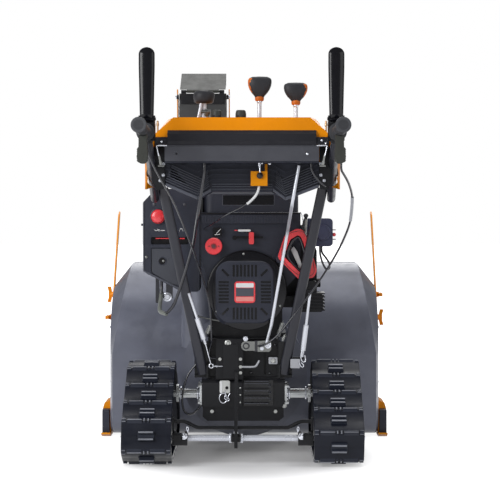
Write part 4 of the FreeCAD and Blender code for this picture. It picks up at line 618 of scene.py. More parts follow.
@section
def guide_fittings():
    """Ball joint and screws on the cable guide, and the pale sleeve below it."""
    top = within("hose_bracket", (0.5, 0, 1), 1, -2, 4)
    joint = Form().turn([(4.5, 0), (4.5, 10), (2.6, 11), (2.6, 30)], top, 12, (0.05, 0, -1))
    joint.turn([(8.5, 0), (8.5, 4)], top + mm(9, 0, 2), 16, (-1, 0, 0)).done("guide_joint", "chrome")
    ball = [(8.8 * math.sin(math.pi * i / 12), -8.8 * math.cos(math.pi * i / 12)) for i in range(13)]
    turned("guide_ball", "knob_plastic", ball, top + mm(1, -1, -36), 20, UP)
    domes("guide_screws", [(within("hose_bracket", (1, 0, 1), 6, 22, 2), 4.2)], "chrome")
    wire("guide_sleeve", [spot("hose_bracket", *step) for step in ((0, -1, -12), (-2, -17, -14),
        (-17, -37, -20), (-32, -49, -46))], 3.6, "white_plastic")


def knob(name, x, z, lean, side, squat=1.0):
    """Two-part gear knob: a dark crowned body with an orange side panel and collar."""
    middle = within("lever_knobs", (0, 0.5, 1), x, 0, z)
    levels = [(0, 11.4, 9.5), (7, 16.2, 11.8), (14, 22.6, 14.2), (23, 28.2, 16.5), (32.5, 31.8, 17.8),
        (41.5, 33, 18.2), (48.5, 32.6, 17.2), (53.5, 30.2, 15), (57.5, 22, 10.5), (59, 0, 0)]
    oval = [[math.copysign(abs(p) ** 0.75, p) for p in point] for point in circle(56)]
    form = Form()
    rings = [[form.bm.verts.new(middle + mm(wide * u + lean * rise * squat, deep * v, rise * squat))
        for u, v in (oval if wide else oval[:1])] for rise, wide, deep in levels]
    form.bm.faces.new(rings[0][::-1])
    for one, two in zip(rings, rings[1:]):
        join(form.bm, one, two)
    piece = form.done(name, "knob_plastic")
    piece.data.materials.append(FINISHES["orange_insert"])
    for face in piece.data.polygons:
        at = (face.center - middle) / MM
        rise = at.z / squat
        if (at.x - lean * at.z) * side > 28.2 - 0.35 * abs(rise - 36) and 15 < rise < 52:
            face.material_index = 1
    turned(name + "_collar", "orange_insert", [(0, 4), (11.6, 3), (12.7, 0), (12.5, -6), (10.5, -9.5)],
        middle, 28, UP)
    turned(name + "_nut", "chrome", [(7.2, -9), (7.4, -13), (6.2, -16)], middle, 20, UP)
    return piece


@section
def lever_tops():
    """The two gear knobs and the small chute stick, in place of their plain blocks."""
    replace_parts(knob("gear_knob_left", 181.3, -59.2, 0.02, -1), "lever_knobs")
    knob("gear_knob_right", 282.3, -70.0, -0.01, 1, 0.90)
    place = within("lever_knobs", (0, 0.5, 0), 27.3, 0, 0)
    turned("chute_stick_top", "knob_plastic", [(21.5, 0), (25.8, 3), (28.4, 10), (29.8, 20), (29, 28),
        (24, 33.5), (12, 35), (0, 35.2)], place, 36, UP)
    joint = place + mm(5, -2, -26)
    form = Form().turn([(0, -12), (7.2, -10), (9.8, -4), (9.8, 4), (7, 9), (0, 11)], joint, 20, UP)
    for x in (-9, 11):
        form.draw(rounded(3.5, 30, 1), -6, 6, back(joint + mm(x, 0, -6)))
    form.turn([(4.5, 0), (4.5, 26), (0, 27)], joint + mm(-13, -7, 2), 12, (1, 0, 0))
    form.done("chute_stick_joint", "dull_zinc", 0.5)
    wire("chute_stick_link", [place + mm(*step) for step in ((-8, -10, 1), (-9, -11, -16), (-19, -12, -55))],
        4.2, "bright_rod")
    caps, tall = Form(), 24.5
    foot = Vector((place.x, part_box("lever_knobs")[0][1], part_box("console_cover")[1][2]))
    for x in (37, 103):
        caps.turn([(15, 0), (14.6, tall * 0.6), (12.8, tall * 0.92), (10.5, tall)], foot + mm(x, -59, -4.5),
            24, UP)
    caps.done("console_caps", "olive_rubber", 0.8)


@section
def lever_rods():
    """The control rods, with plain feet where the levers enter the cover and a straighter long rod."""
    node = NODES["control_rods"]
    low, high = corners("lever_knobs")
    top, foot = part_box("control_rods")[1][2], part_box("console_cover")[1][2] - 0.022
    bm = bmesh.new()
    bm.from_mesh(node.data)
    bm.transform(node.matrix_world)
    for x, radius in ((0.0273, 0.0095), (0.1813, 0.0058), (0.2823, 0.0058)):
        axis = Vector((low.x + x, (low.y + high.y) / 2))
        for vert in bm.verts:
            off = (vert.co.xy - axis).to_3d()
            if foot < vert.co.z < top and radius < off.length < 0.024:
                vert.co -= off * (1 - radius / off.length)
    bends = ((0.352, 0.0), (0.400, 0.0095), (0.680, 0.0060), (0.765, 0.0))
    for vert in bm.verts:
        for (start, near), (stop, far) in zip(bends, bends[1:]):
            if start <= vert.co.z < stop and 0.05 < vert.co.x < 0.168 and vert.co.y < -0.079:
                vert.co.x += near + (far - near) * (vert.co.z - start) / (stop - start)
                break
    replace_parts(mesh_piece("lever_rods", bm, "bright_rod"), "control_rods")


@section
def grip_ends():
    """Rimmed ends of both grips, with their plug and centre hole."""
    rim = [(17.2, -12), (20.2, -4), (20.8, -1), (19.6, 1.4), (15, 2), (11, 0.8), (4.8, 0.8), (4, 1.6),
        (3, 1.4), (2.8, -0.5), (0, -0.6)]
    for s, tag, end in pair(within("grips", (1, 0, 1), -18, 3, -15.6)):
        way = Vector((s * 0.0540, -0.9963, 0.0663)).normalized()
        turned("grip_end_" + tag, "grip_face", rim, end, 36, way)
        # Near-black disc in the grip end's centre hole: painted shade inside it.
        turned("grip_hole_" + tag, "hole_dark", [(2.7, -0.8), (2.7, 0.7)], end, 16, way)
        turned("grip_plug_" + tag, "grip_rubber", [(10.4, 0.4), (10.4, 1), (0, 0.6)], end, 28, way)


@section
def cable_sleeve():
    """Pale sleeve round the right-hand cable at its widest bow."""
    node, edge = NODES["cables"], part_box("cables")[1][0] - 0.010
    bow = [p for p in (node.matrix_world @ vert.co for vert in node.data.vertices) if p.x > edge]
    bow.sort(key=lambda p: p.z)
    third = len(bow) // 3
    points = [sum(part, Vector()) / len(part) for part in (bow[:third], bow[third:-third], bow[-third:])]
    wire("cable_sleeve", points, 4.4, "light_grey")


@section
def clamp_webs():
    """Flat webs that close the grip clamps just before the feet of the paddles."""
    for s, tag, place in pair(within("grip_clamps", (1, 1, 1), -31, -18, -22)):
        drawn("clamp_web_" + tag, "grip_rubber", rounded(26, 28, 3), 0, 4, back(place), 0.6)


@section
def paddle_faces():
    """Glossy crowned faces over the paddles' flat plates."""
    rows, columns = 36, 14
    for node in ("right_paddle", "left_paddle"):
        low, high = corners(node)
        foot, tall = low.z + 0.010, high.z - low.z - 0.005
        bm, grid = bmesh.new(), []
        for r in range(rows + 1):
            share = 1 - (1 - r / rows) ** 1.9
            half = 18.4 + 3 * min(1.0, share / 0.72)
            if share > 0.9:
                half *= math.sqrt(max(0.0, 1 - ((share - 0.9) / 0.1) ** 2)) * 0.999 + 0.001
            arch = 8 * min(1.0, (1 - share) * 9 + 0.15)
            middle = Vector(((low.x + high.x) / 2, low.y, foot + tall * share))
            across = [-1 + 2 * c / columns for c in range(columns + 1)]
            steps = [mm(u * half, 4.5 - arch * (1 - u * u) ** 0.5, 0) for u in across]
            grid.append([bm.verts.new(middle + step) for step in steps])
        for one, two in zip(grid, grid[1:]):
            for i in range(columns):
                bm.faces.new((one[i], one[i + 1], two[i + 1], two[i]))
        skin = mesh_piece(node + "_face", bm, "gloss_black", 0.0, node).modifiers.new("skin", "SOLIDIFY")
        skin.thickness = 0.0012


@section
def trigger_boots():
    """Ribbed rubber boots round the lower half of both triggers."""
    profile = [(0, 4), (10.5, 3), (14, 6)]
    for i in range(7):
        profile += [(15, 8 + 4.8 * i), (13.8, 10.4 + 4.8 * i)]
    profile.append((12, 42.5))
    for s, tag, foot in pair(within("triggers", (1, 0.5, 0), -14, 0.5, 0)):
        form = Form().turn(profile, (0, 0, 0), 30, UP)
        form.bm.transform(Matrix.Translation(foot) @ Matrix.Diagonal((1.0, 1.12, 1.0, 1.0)))
        form.done("trigger_boot_" + tag, "olive_rubber")


# ---- engine ----

@section
def recoil_badge():
    """Unlettered badge on the starter cover's boss: red frame, pale bands and a dark middle."""
    for name, up, wide, tall, radius, out, finish in (
            ("badge_frame", 99, 62, 64, 9, 0, "red_plastic"),
            ("badge_top", 119.5, 53, 13, 3, 0.7, "white_plastic"),
            ("badge_middle", 99, 53, 25, 1.5, 0.7, "grey_and_rib_highlight"),
            ("badge_low", 78.5, 53, 13, 3, 0.7, "pale_red")):
        plate(name, "recoil_cover", 0, up, wide, tall, radius, out, 1, finish)


@section
def shroud_trim():
    """Fluted strip, throttle slot with its marks, name plate and screws on the engine's cover."""
    node, face = "engine_shroud", -12.0
    plate("flute_band", node, -8, 330.5, 270, 25, 4, face, 1.6, "engine_plastic", 0.8)
    flutes, matrix = Form(), back(spot(node, -8, 0, face + 1))
    for x in range(-132, 112, 8):
        flutes.draw([(x - 1.6, 320), (x + 1.6, 320), (x + 1.6, 341), (x - 1.6, 341)], 0, 1.5, matrix)
    flutes.done("flutes", "engine_plastic", 0.6)
    for name, across, up, wide, tall, radius, deep, finish in (
            # step_groove and throttle_slot are near-black strips: painted shade in the groove and the slot.
            ("step_groove", 0, 347.5, 296, 3, 1, 0.6, "hole_dark"),
            ("throttle_slot", -5, 276.5, 88, 7, 3, 0.8, "hole_dark"),
            ("throttle_mark", -17, 297, 38, 6, 2.8, 0.5, "white_plastic"),
            ("throttle_dash", -42, 297.5, 9, 3, 1.2, 0.5, "red_plastic"),
            ("choke_plate", -97.5, 292.5, 27, 27, 2, 0.7, "gloss_black")):
        plate(name, node, across, up, wide, tall, radius, face, deep, finish, 0)
    strip("choke_mark", node, [[(-106, 284), (-90, 286)], [(-101, 288), (-88, 301)]], 2.2, face + 0.4, 0.6,
        "white_plastic", 0)
    # Near-black disc in the throttle hole: painted shade.
    turned("throttle_hole", "hole_dark", [(7, -1), (7, 1.1)], spot(node, -46, 275, face), 20)
    plate("name_plate", "fuel_tank", -6, 37, 153, 29, 2, -0.2, 1.4, "gloss_black")
    plate("name_rim", "fuel_tank", -6, 37, 157, 33, 3, -0.4, 0.9, "grey_and_rib_highlight")
    turned("recoil_ring", "gloss_black", [(90, -1), (117.8, -1), (117.8, 0.2), (116.8, 0.7), (90, 0.7)],
        spot(node, -9.5, 118), 72, bore=True)

    def round_fan(radius, c, s):
        return spot(node, -9.5 + radius * c, 118 + radius * s, 0.6 if radius < 115 else face + 0.6)

    turns = [math.radians(turn) for turn in (95, 215, 335)]
    domes("ring_screws", [(round_fan(110, math.cos(a), math.sin(a)), 3.6) for a in turns], "dull_zinc")
    # Near-black line round the recoil ring: painted shade in its gap.
    wire("ring_gap", [round_fan(119.2, *point) for point in circle(40)], 1.6, "hole_dark", closed=True)


@section
def knob_faces():
    """Centre rings and pointer marks of the choke knob and the priming button."""
    choke = within("red_controls", (0, 0, 0), 188, 2.2, 25)
    turned("choke_face", "red_plastic", [(25.5, 0), (25.5, 1.5), (23.5, 3.5), (10, 3.5), (9, 2), (7.5, 2)],
        choke, 40)
    turned("choke_boss", "pivot_red", [(8, 2), (7.8, 4.2), (5, 4.6), (4.4, 3.6)], choke, 28)
    domes("choke_pin", [(choke + mm(0, -3.4, 0), 3.4)], "panel_grey")
    arrows = Form().draw([(12, -3), (19, 0), (12, 3)], 3.4, 4, back(choke))
    arrows.draw([(-12, 3), (-19, 0), (-12, -3)], 3.4, 4, back(choke)).done("choke_arrows", "pivot_red")
    button = within("red_controls", (0, 0, 1), 21, 5, -21)
    collar = Vector((button.x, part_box("intake_box")[0][1], button.z))
    turned("button_dome", "red_plastic", [(17.5, 0), (16.8, 2), (12, 3.6), (6, 4.3), (0, 4.5)], button, 36)
    turned("button_collar", "engine_plastic", [(21.2, 0), (25, 0), (25, 3), (22.5, 4), (21.2, 3)], collar,
        36, bore=True)


@section
def intake_trim():
    """Border, marks, bezel and fasteners of the intake box."""
    node = "intake_box"
    matrix = back(spot(node, 0, 0))
    rim = Form().draw([(-84.5, 62), (-81, 62), (-81, 266), (-84.5, 266)], -1, 2.2, matrix)
    rim.draw([(-84.2, 61), (30, 3.5), (32, 7.5), (-80.5, 64)], -1, 2.2, matrix)
    rim.done("intake_rim", "grey_and_rib_highlight", 0.8)
    drawn("intake_panel", "panel_plastic", [(-59, 58), (-6, 25), (26, 17), (27, 130), (-59, 130)], -6, -2.2,
        matrix, 1.2)
    hole = spot(node, -27, 92, -2.2)
    turned("intake_bezel", "engine_plastic", [(8.5, -1), (13.5, -1), (13.2, 1), (11.2, 1.4), (8.5, -0.5)],
        hole, 30, bore=True)
    # Near-black disc inside the bezel: painted shade in the intake hole.
    turned("intake_hole", "hole_dark", [(11.2, -1), (11.2, 0.6)], hole, 30)
    domes("intake_screws", [(spot(node, -23.5, 92.5, -1.4), 4), (spot(node, -74.5, 104, 0.6), 4.6)],
        "dull_zinc")
    domes("intake_studs", [(spot(node, -51, 262, 0.4), 5.2), (spot(node, 40, 262, 0.4), 4.4)], "panel_grey")
    plate("intake_slot_shade", node, -4, 153, 106, 20, 2, -9, 1, "hole_dark", 0)
    plate("intake_lever_line", node, -21, 160, 52, 2.6, 1.2, -7.5, 3.5, "red_plastic")
    plate("intake_lever_end", node, 33, 160, 15, 3.4, 1.2, -7.5, 3.5, "red_plastic")
    strip("intake_marks", node, [[(-50, 186), (-44, 183), (-38, 187), (-33, 184)], [(-31, 184), (-19, 184)],
        [(-42, 189), (-36, 181)], [(24, 180), (27, 189), (33, 189), (36, 181)]], 1.8, 0, 0.5,
        "white_plastic", 0)
    turned("intake_stud", "engine_plastic", [(6, -4), (6, 1), (3.5, 1.5), (3.5, 6), (0, 7)],
        within(node, (0, 0, 1), 0, 20, -108), 14, (-1, 0, 0))
    nut = within(node, (0, 0, 0), 72, 22, -16.5)
    bracket = Form().draw(rounded(11.5, 80, 3), -12, 12, back(nut + mm(-29.5, 8, 21.5)))
    bracket.turn([(13.5, -14), (13.5, -1), (11.8, 1)], nut, 30)
    bracket.draw(rounded(20, 70, 3), -10, 0, back(nut + mm(6, 0, 30))).done("intake_bracket", "cable_black")
    bolts("intake_nut", [(nut + mm(0, -1.5, 0), 8.8)], "chrome")


@section
def starter_skin():
    """Dark blue cover with its boss, socket pins and red button on the electric starter."""
    side = within("electric_starter", (1, 0, 1), 0, 14, -42)
    rib = within("electric_starter", (0, 0, 1), 71, 13, -42)
    middle = side + mm(-41.5, 0, 0)
    drawn("starter_cover", "navy_plastic", rounded(83.8, 84.8, 12), -77.5, 1.2, back(middle), 2.5)
    turned("starter_boss", "navy_plastic", [(24, 0), (23.2, 5), (21.6, 15), (19, 15.8), (18, 14.6), (0, 15)],
        middle + mm(12.5, 0, 0), 40)
    pins, ribs = Form(), Form()
    for rise in (7.5, -21):
        pins.turn([(1.4, -2), (1.4, 10), (0, 10.4)], side + mm(0, 20, rise), 10, (1, 0, 0))
    pins.done("starter_pins", "cable_black")
    turned("starter_button", "red_plastic", [(5.6, -6), (5.6, 2), (4.6, 4.2), (2.4, 5.2), (0, 5.4)],
        side + mm(4.8, 10, -6.8), 28)
    for i in range(5):
        ribs.draw(rounded(3, 70, 1), 0, 3, back(rib + mm(4.6 * i, 0, 0)))
    ribs.done("starter_ribs", "navy_plastic", 0.5)


@section
def pull_handle_liner():
    """Dark groove inside the ring grip, and the pale guide behind it."""
    place = places(corners("pull_handle")[0])
    liner = ((40, 116), (57, 127), (64, 125), (71, 110), (93, 35), (90, 25), (69, 20), (20, 68))
    seam = ((22, 128), (40, 141), (70, 147), (86, 128), (110, 32), (104, 12), (68, 3), (3, 62))
    guide = ((33, 106, 34), (48, 84, 36), (60, 44, 36), (72, 6, 34))
    wire("grip_liner", [place(x, z, 11) for x, z in liner], 4.6, "cable_black", True)
    wire("grip_seam", [place(x, z, -0.2) for x, z in seam], 1.1, "pivot_red", True)
    wire("rope_guide", [place(*point) for point in guide], 4, "cable_black")
    shape = [(38, 88), (47, 98), (58, 82), (70, 48), (77, 14), (66, 2), (60, 8), (66, 22), (56, 50)]
    drawn("rope_shield", "white_plastic", shape, -4, 4, back(place(0, 0, 30)), 1.4)
    turned("guide_knuckle", "cable_black", [(8, 0), (8, 6), (4.5, 8), (4.5, 20), (10, 22), (8.5, 30),
        (0, 31)], place(34, 88, 40), 14, (0.25, 0, 1))


# ---- sides of the engine ----

@section
def governor_gear():
    """Levers, rods and a spring on the engine's right flank, under the tank."""
    place = places(within("engine_shroud", (1, 0, 0), 2, 20, 0))
    form = Form().draw([(2, 296), (10, 300), (13, 322), (20, 340), (14, 346), (6, 328), (0, 306)], 0, 4,
        back(place(0, 0)))
    form.draw([(-6, 262), (16, 262), (20, 282), (10, 300), (-6, 300)], -10, -6, back(place(0, 0)))
    for x, z, r in ((14, 341, 7.5), (6, 300, 6.5), (12, 270, 8)):
        form.turn([(r, -6), (r, 5), (r * 0.7, 7.5)], place(x, z), 8)
    form.done("governor_arm", "cable_black", 0.5)
    wire("governor_spring", helix(place(12, 274, -4), place(15, 338, -4), 4.2, 14), 0.9, "zinc")
    wire("governor_rod", [place(4, 304, 3), place(9, 330, 6), place(-2, 352, 10)], 1.3, "chrome")


@section
def barrel_fins():
    """Cooling ribs along the cylinder's sides."""
    low, high = corners("engine_block")
    deep = min(110, (high.y - low.y) * 0.5 / MM)
    form = Form()
    for i in range(7):
        z = low.z + (high.z - low.z) * (0.42 + 0.055 * i)
        for x in (low.x + 0.006, high.x - 0.006):
            form.draw(rounded(10, deep, 4), -1.7, 1.7, Matrix.Translation((x, (low.y + high.y) / 2, z)))
    form.done("barrel_fins", "cast_metal", 0.4)


# ---- frame, linkage and tracks ----

@section
def deck_fittings():
    """Links, springs, pins and rivets behind the deck and the transmission case."""
    place = places(plane_foot("engine_deck"), -1)
    ring = [(-96 + 6.5 * c, 42 + 6.5 * s, 31) for c, s in circle(12)]
    for name, points, radius, finish, closed in (
            ("idler_link", [(-4, 39, 32), (30, 38, 32), (41, 42, 32), (48, 58, 30)], 3, "light_grey", False),
            ("left_drop_wire", [(-113, 110, 37), (-105, 76, 34), (-97, 48, 31)], 1.6, "chrome", False),
            ("left_eye", ring, 1.9, "chrome", True)):
        wire(name, [place(*point) for point in points], radius, finish, closed)
    turned("eye_bolt", "chrome", [(4.2, 0), (4.2, 4), (2.2, 4.5), (2.2, 10), (3.6, 10.5), (3.6, 14),
        (2.2, 14.5), (2.2, 30)], place(-92, 41, 31), 8, (1, 0, 0))
    for name, start, end, radius, turns, thick in (
            ("left_spring", (-111, 134, 30), (-96, 168, 26), 5.8, 8, 1.1),
            ("right_spring", (101, 124, 30), (121, 178, 26), 5.8, 11, 1.1),
            ("brake_spring", (128, 138, 28), (116, 116, 26), 4.6, 6, 1)):
        wire(name, helix(place(*start), place(*end), radius, turns), thick, "zinc")
    clip = back(place(90, 55, -6))
    drawn("square_clip", "light_grey", rounded(27, 21, 3), 0, 10, clip, 1.2)
    drawn("clip_core", "hole_dark", rounded(13, 12, 2), 0, 11, clip)
    bolts("clip_nut", [(place(90, 55, 5), 4.2)])
    domes("deck_screws", [(place(x, z, -5), 3.6) for x, z in ((30, 100), (80, 16), (24, 18), (96, 102))],
        "cable_black")
    domes("case_rivets", [(place(-8.6, z, 17.5), 2.6) for z in (-26, -47, -69.5)])
    wire("case_seam", [place(-2.5, -1, 18.6), place(-2.5, -82, 18.6)], 1.2, "hole_dark")
    bolts("side_bolts", [(place(124, -79, 16), 4.8), (place(-124, 20, 8), 4.5), (place(-46, 110, 26), 6)])


@section
def hitch_pin():
    """Spring cotter and lanyard ring that hang from the hitch plate."""
    place = places(plane_foot("case_bolts") + mm(-60, 4, 53))
    wire("lanyard_ring", [place(12 * c, -6 + 15 * s, -3) for c, s in circle(14)], 1.5, "chrome", closed=True)
    cotter = ((4, 16), (10, 4), (2, -4), (12, -16), (20, -10), (12, -2), (20, 8))
    wire("cotter", [place(x, z, -7) for x, z in cotter], 1.4, "chrome")
    drawn("hitch_flange", "white_plastic", rounded(7.5, 36, 2), 0, 3, back(place(-6.5, 26, 3.5)), 0.6)


@section
def right_rod_end():
    """Pale stop plate, hook and clip under the right-hand rod."""
    place = places(plane_foot("engine_deck"), -1)
    drawn("stop_plate", "light_grey", rounded(29, 28, 3), 0, 3, back(place(156, 49, 31)), 0.8)
    hook = ((177, 112), (175, 90), (172, 68), (176, 56), (184, 52), (188, 62), (184, 74))
    wire("rod_hook", [place(x, z, 36) for x, z in hook], 1.7, "chrome")
    clip = ((168, 52), (172, 40), (180, 38), (182, 46), (174, 52))
    wire("rod_clip", [place(x, z, 38) for x, z in clip], 1.4, "chrome")


@section
def rod_ends():
    """Chrome caps, split pins and lock collars on the cross rod."""
    rod, bracket = centre("cross_rod"), within("rod_brackets", (1, 0, 0), -34.5, 0, 0)
    bracket.z = rod.z
    for s, tag, base in pair(bracket):
        place = places(base)
        turned("rod_cap_" + tag, "chrome", [(10, -2), (10, 3), (7, 5.5), (4, 9), (0, 9.8)], place(0, 8), 24,
            body="undercarriage")
        pin = ((10, 18, 8), (14, 30, 6), (9, 36, 6), (6, 28, 6), (10, 20, 8))
        wire("split_pin_" + tag, [place(-s * x, z, y) for x, z, y in pin], 1.4, "chrome",
            body="undercarriage")
    collars = Form()
    for x in (-40, -8):
        collars.turn([(13.5, 0), (14.5, 1.5), (14.5, 6.5), (13.5, 8)], rod + mm(x, 0, 0), 30, (1, 0, 0))
    collars.done("lock_collars", "plated_rod", 0.0, "undercarriage")
    bolts("lock_bolt", [(Vector((rod.x - 0.02, bracket.y + 0.0025, rod.z + 0.018)), 4.2)], "chrome",
        "undercarriage")


@section
def axle_trim():
    """Bright retaining rings where the axle tubes meet the case and the tracks."""
    mid, case = centre("axle"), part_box("transmission_case")[1][0]
    for s, tag in SIDES:
        rings = Form()
        for x, r in ((case + 0.0070, 24), (case + 0.0125, 18.5), (0.1875, 19)):
            rings.turn([(r, 0), (r + 1, 1), (r + 1, 3.5), (r, 4.5)], (s * x, mid.y, mid.z), 36, (s, 0, 0))
        rings.done("axle_rings_" + tag, "chrome")


@section
def speed_arm():
    """The plated arm under the speed rod: a round-ended plate, its dark clamp and the outer plate."""
    low, high = corners("shift_arm")
    wide, tall = (high.x - low.x) / MM, (high.z - low.z) / MM
    place = places(low + mm(0, 5, 0), -1)
    matrix, eye = back(place(0, 0)), place(15, tall / 2)
    turns = [math.radians(turn) for turn in range(75, 286, 15)]
    lobe = [(15 + 15 * math.cos(turn), tall / 2 + 15 * math.sin(turn)) for turn in turns]
    plates = Form().draw(lobe + [(41, 3), (41, tall - 4)], -5, 0, matrix)
    plates.draw([(49, 0), (wide - 6, 0), (wide, 6), (wide, tall - 6), (wide - 6, tall), (49, tall - 3)], -5,
        0.4, matrix)
    plates.turn([(6.2, -20), (6.2, 4.8)], eye, 24)
    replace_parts(plates.done("speed_plate", "dull_zinc", 0.9), "shift_arm")
    clamp = Form().draw([(38, 1), (52, 1), (52, tall - 2), (38, tall - 2)], -4.6, -0.6, matrix)
    clamp.turn([(6.6, 0), (10.5, 0), (9.8, 2.2), (6.6, 2.2)], eye, 28, bore=True)
    clamp.done("speed_clamp", "cable_black", 0.3)
    bolts("speed_bolts", [(place(x, z, 0.4), r) for x, z, r in ((wide - 10, tall * 0.56, 6.2),
        (62, tall * 0.28, 3.8), (13, tall + 4, 4.8))], "chrome")


@section
def louvre_lips():
    """Bright strips along the louvres' edges, a painted highlight, and the chevrons at their ends in the same
    grey.
    """
    low, high = corners("louvre_cover")
    half, tall = (high.x - low.x) / 2 / MM, (high.z - low.z) / MM
    lines = [[(-half + 2, z), (half - 14, z)] for z in (8, 24, 45.5, 67, tall - 3)]
    hooks = [[(half - x, z - 4), (half - tip, z), (half - x, z + 4)]
        for z in (20, 41, 62) for x, tip in ((13, 9), (9, 5))]
    strip("louvre_lines", "louvre_cover", lines, 1.3, 0.2, 0.6, "grey_and_rib_highlight", 0)
    strip("louvre_hooks", "louvre_cover", hooks, 1.5, 0.2, 0.6, "grey_and_rib_highlight", 0)


@section
def loose_wires():
    """Black sheath that loops round the left axle tube, the thin wire above it and the deck's rod."""
    axle, deck = centre("axle"), plane_foot("engine_deck")
    place = places(Vector((0, deck.y - 0.006, axle.z)))
    loop = ((-128, 105), (-158, 78), (-176, 40), (-186, -10), (-181, -50), (-160, -62), (-137, -46),
        (-128, -30))
    wire("axle_sheath", [place(x, z) for x, z in loop], 3, "cable_black")
    wire("axle_wire", [place(-146, 150, -4), place(-140, 98, -4), place(-128, 72)], 1.8, "cable_black")
    place = places(deck)
    wire("deck_rod", [place(-138, 190, -4), place(-60, 168, -12), place(40, 166, -8)], 2.2, "dull_zinc")


@section
def hose_sheath():
    """Sheath over the foot of the hose, below the intake box, in a pale grey that is a painted highlight
    along the hose.
    """
    corner = corners("intake_box")[0]
    steps = ((75, -66, -63), (61, -53, -61), (51, -40, -54), (52, 3, -30), (55, 19, -2))
    wire("hose_sheath", [corner + mm(*step) for step in steps], 6.2, "sheath_highlight_grey")


# ---- front, flanks and chute ----

@section
def chute_hardware():
    """Hinge caps and their screws on the chute's deflector."""
    low, high = corners("chute_body")
    hinge = centre("chute_hinge")
    for s, tag in SIDES:
        place = Vector(((low.x + high.x) / 2 + s * ((high.x - low.x) / 2 - 0.007), hinge.y, hinge.z))
        turned("hinge_cap_" + tag, "gloss_black", [(7.5, -3), (7.5, 3), (5.5, 4.5)], place, 24, (s, 0, 0),
            body="chute")
        bolts("hinge_screw_" + tag, [(place + mm(s * 4.5, 0, 0), 4.2, (s, 0, 0))], "chrome", "chute")


@section
def bearing_bolts():
    """Flange bolts round the auger's side bearings, and carriage bolts along the side sheets."""
    reach, mid = corners("auger_bearings")[1].x - 0.0085, centre("auger_bearings")
    ring = [(0.030 * math.cos(math.radians(t)), 0.030 * math.sin(math.radians(t))) for t in (30, 150, 270)]
    bolts("bearing_bolts", [(Vector((s * reach, mid.y + y, mid.z + z)), 5.8, (s, 0, 0))
        for s in (-1, 1) for y, z in ring])
    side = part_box("auger_housing")[1][0] - 0.0004
    seats = ((0.40, 0.36), (0.40, 0.18), (0.74, 0.46), (0.56, 0.46), (0.46, 0.045))
    domes("side_rivets", [(Vector((s * side, y, z)), 6.2, (s, 0, 0)) for s in (-1, 1) for y, z in seats],
        "housing_paint")


@section
def wheel_faces():
    """Bearing caps and bolts on the outer faces of the sprockets and idlers."""
    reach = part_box("track_frames")[1][0]
    profile = [(20, -4), (20, 3), (16.5, 6), (12, 6.5), (11, 4)]
    wheels = centre("axle"), centre("cross_rod")
    for s, tag in SIDES:
        caps = Form()
        for at in wheels:
            caps.turn(profile, (s * (reach + 0.001), at.y, at.z), 36, (s, 0, 0))
        caps.done("wheel_caps_" + tag, "zinc", 0.0, "undercarriage")
        bolts("wheel_bolts_" + tag, [(Vector((s * (reach + 0.006), at.y, at.z)), 7, (s, 0, 0))
            for at in wheels], "chrome", "undercarriage")


@section
def lamp_face():
    """Fluted glass and bezel of the headlamp."""
    low, high = corners("headlamp")
    wide, tall = (high.x - low.x) / MM, (high.z - low.z) / MM
    matrix = Matrix.Translation(((low.x + high.x) / 2, high.y - 0.0010, (low.z + high.z) / 2)) @ FRONT
    outer, inner = rounded(wide, tall, tall * 0.36), rounded(wide - 12, tall - 12, tall * 0.3)
    bezel, flutes, count = Form(), Form(), 15
    rings = [[bezel.bm.verts.new(matrix @ mm(x, y, h)) for x, y in outline]
        for outline, h in ((outer, -6), (outer, 1), (inner, 1.6), (inner, -4))]
    for one, two in zip(rings, rings[1:]):
        join(bezel.bm, one, two)
    bezel.done("lamp_bezel", "cable_black")
    for i in range(count):
        x = wide * (0.84 * i / (count - 1) - 0.42)
        flutes.draw([(x + u, v) for u, v in rounded(4.5, tall * 0.72, 2)], -2, 0.9, matrix)
    flutes.done("lamp_flutes", "lamp_lens", 0.6)


@section
def cap_grip():
    """Grip ribs round the fuel cap."""
    seat = within("fuel_tank", (0, 0, 1), 183, 126, -26)
    form = Form()
    for i in range(20):
        turn = Matrix.Translation(seat) @ Matrix.Rotation(2 * math.pi * i / 20, 4, "Z")
        form.draw([(28.5, -2.2), (31.8, -1.5), (31.8, 1.5), (28.5, 2.2)], 4, 16.5, turn)
    form.turn([(30, 1), (33, 1), (33, 4.5), (30, 4.5)], seat, 48, UP, bore=True)
    form.done("fuel_cap_grip", "cable_black", 0.4)


@section
def cutter_wings():
    """Full wings over the nuts that hold the drift cutters."""
    low, high = corners("cutter_knobs")
    reach = 0.0268
    seats = [(low.y + reach, low.z + reach), (high.y - reach, high.z - reach)]
    half = [(6, 3), (12, 9), (27, 14), (25.5, 20), (11, 15.5)]
    form = Form()
    for s in (-1, 1):
        out = Vector((s, 0, 0))
        for i, (y, z) in enumerate(seats):
            along = UP if (i == 0) == (s > 0) else Vector((0, 1, 0))
            matrix = Matrix((along, out, along.cross(out))).transposed().to_4x4()
            matrix.translation = (s * (high.x - 0.0137), y, z)
            form.draw(half + [(-u, v) for u, v in reversed(half)], -5.8, 5.8, matrix)
    form.done("cutter_wings", "orange_plastic", 1.2)


# ---- stage ----

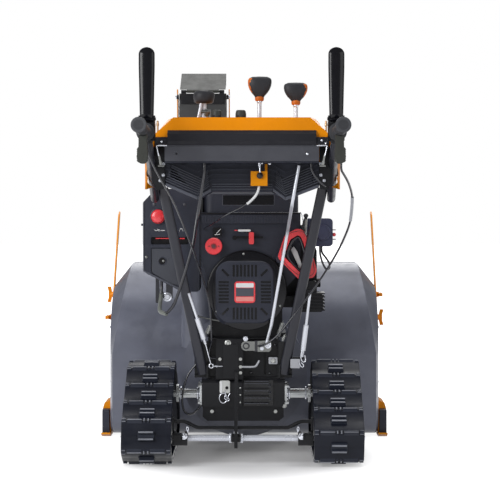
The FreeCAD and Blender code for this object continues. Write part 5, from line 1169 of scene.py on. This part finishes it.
def plain(name, colour, near, far):
    """The pale floor: what looks at it straight sees it glow more with distance, so it fades to
    white; round the object the glow is held low, a painted shade on the ground there that the
    object's real shadow falls within. Polished metal sees an even glow."""
    material, tree = new_tree(name)

    def maths(operation, one, two):
        return shade(tree, "Math", {0: one, 1: two}, operation=operation).outputs[0]

    rays = shade(tree, "LightPath").outputs
    place = shade(tree, "VectorMath", {0: shade(tree, "TexCoord").outputs["Object"], 1: (1.0, 0.72, 0)},
        operation="MULTIPLY").outputs[0]
    reach = shade(tree, "VectorMath", {0: place}, operation="LENGTH").outputs["Value"]
    # Glow low near the object and high further off: a painted shade on the ground round the object.
    painted_shade_ramp = shade(tree, "MapRange", {0: reach, 1: 0.2, 2: 0.52, 3: near, 4: far},
        interpolation_type="SMOOTHSTEP")
    away = spread(tree, reach, 0.0, 0.6, 0.8, 4.0)
    seen = maths("MULTIPLY", rays["Is Camera Ray"], maths("ADD", painted_shade_ramp.outputs[0], away))
    mirrored = maths("MULTIPLY", rays["Is Glossy Ray"], far * 0.8)
    glow = shade(tree, "Emission", {"Strength": maths("ADD", seen, mirrored)})
    matte = shade(tree, "BsdfDiffuse", {"Color": colour + (1,)})
    both = shade(tree, "AddShader", {0: matte.outputs[0], 1: glow.outputs[0]})
    shade(tree, "OutputMaterial", {"Surface": both.outputs[0]})
    return material


def set_stage():
    half = 30.0
    mesh = bpy.data.meshes.new("floor")
    mesh.from_pydata([(-half, -half, 0), (half, -half, 0), (half, half, 0), (-half, half, 0)], [], [range(4)])
    # The floor glows 0.085 round the object, a painted shade there, and 0.90 further off.
    mesh.materials.append(plain("floor", (0.62, 0.62, 0.63), 0.085, 0.90))
    floor = new_object("floor", mesh)
    floor.location.z = CAD_BOX[0][2] - 0.0005
    world = bpy.data.worlds.new("studio")
    bpy.context.scene.world = world
    world.use_nodes = True
    tree = world.node_tree
    rays = shade(tree, "LightPath").outputs
    seen = shade(tree, "Math", {0: rays["Is Camera Ray"], 1: rays["Is Transmission Ray"]},
        operation="MAXIMUM")
    sky = tree.nodes["Background"].inputs
    tree.links.new(spread(tree, seen.outputs[0], 0.34, 1.0, 0.0, 1.0), sky["Strength"])
    sky["Color"].default_value = (1, 1, 1, 1)
    for name, place, size, power in (("key", (-2.7, -2.7, 1.9), 2.2, 140),
            ("fill", (2.6, -2.6, 2.0), 2.6, 36), ("top", (0.2, 0.6, 3.6), 3.0, 66),
            ("front", (0.0, 3.6, 2.4), 2.6, 45)):
        light = bpy.data.lights.new(name, "AREA")
        light.size, light.energy = size, power
        lamp = new_object(name, light)
        lamp.location = place
        lamp.rotation_euler = (Vector((0, 0, 0.6)) - lamp.location).to_track_quat("-Z", "Y").to_euler()


def set_camera():
    camera = bpy.data.cameras.new("camera")
    camera.lens, camera.sensor_width = 117.5, 36.0
    holder = new_object("camera", camera)
    holder.location = (0.040, -4.970, 0.745)
    holder.rotation_euler = (math.radians(90 - 1.40), 0, math.radians(0.23))
    bpy.context.scene.camera = holder
    bpy.context.scene.view_settings.view_transform = "Standard"


set_camera()
dress_frame()
for tag in ("right", "left"):
    tread(tag)
for build in SECTIONS:
    build()
set_stage()
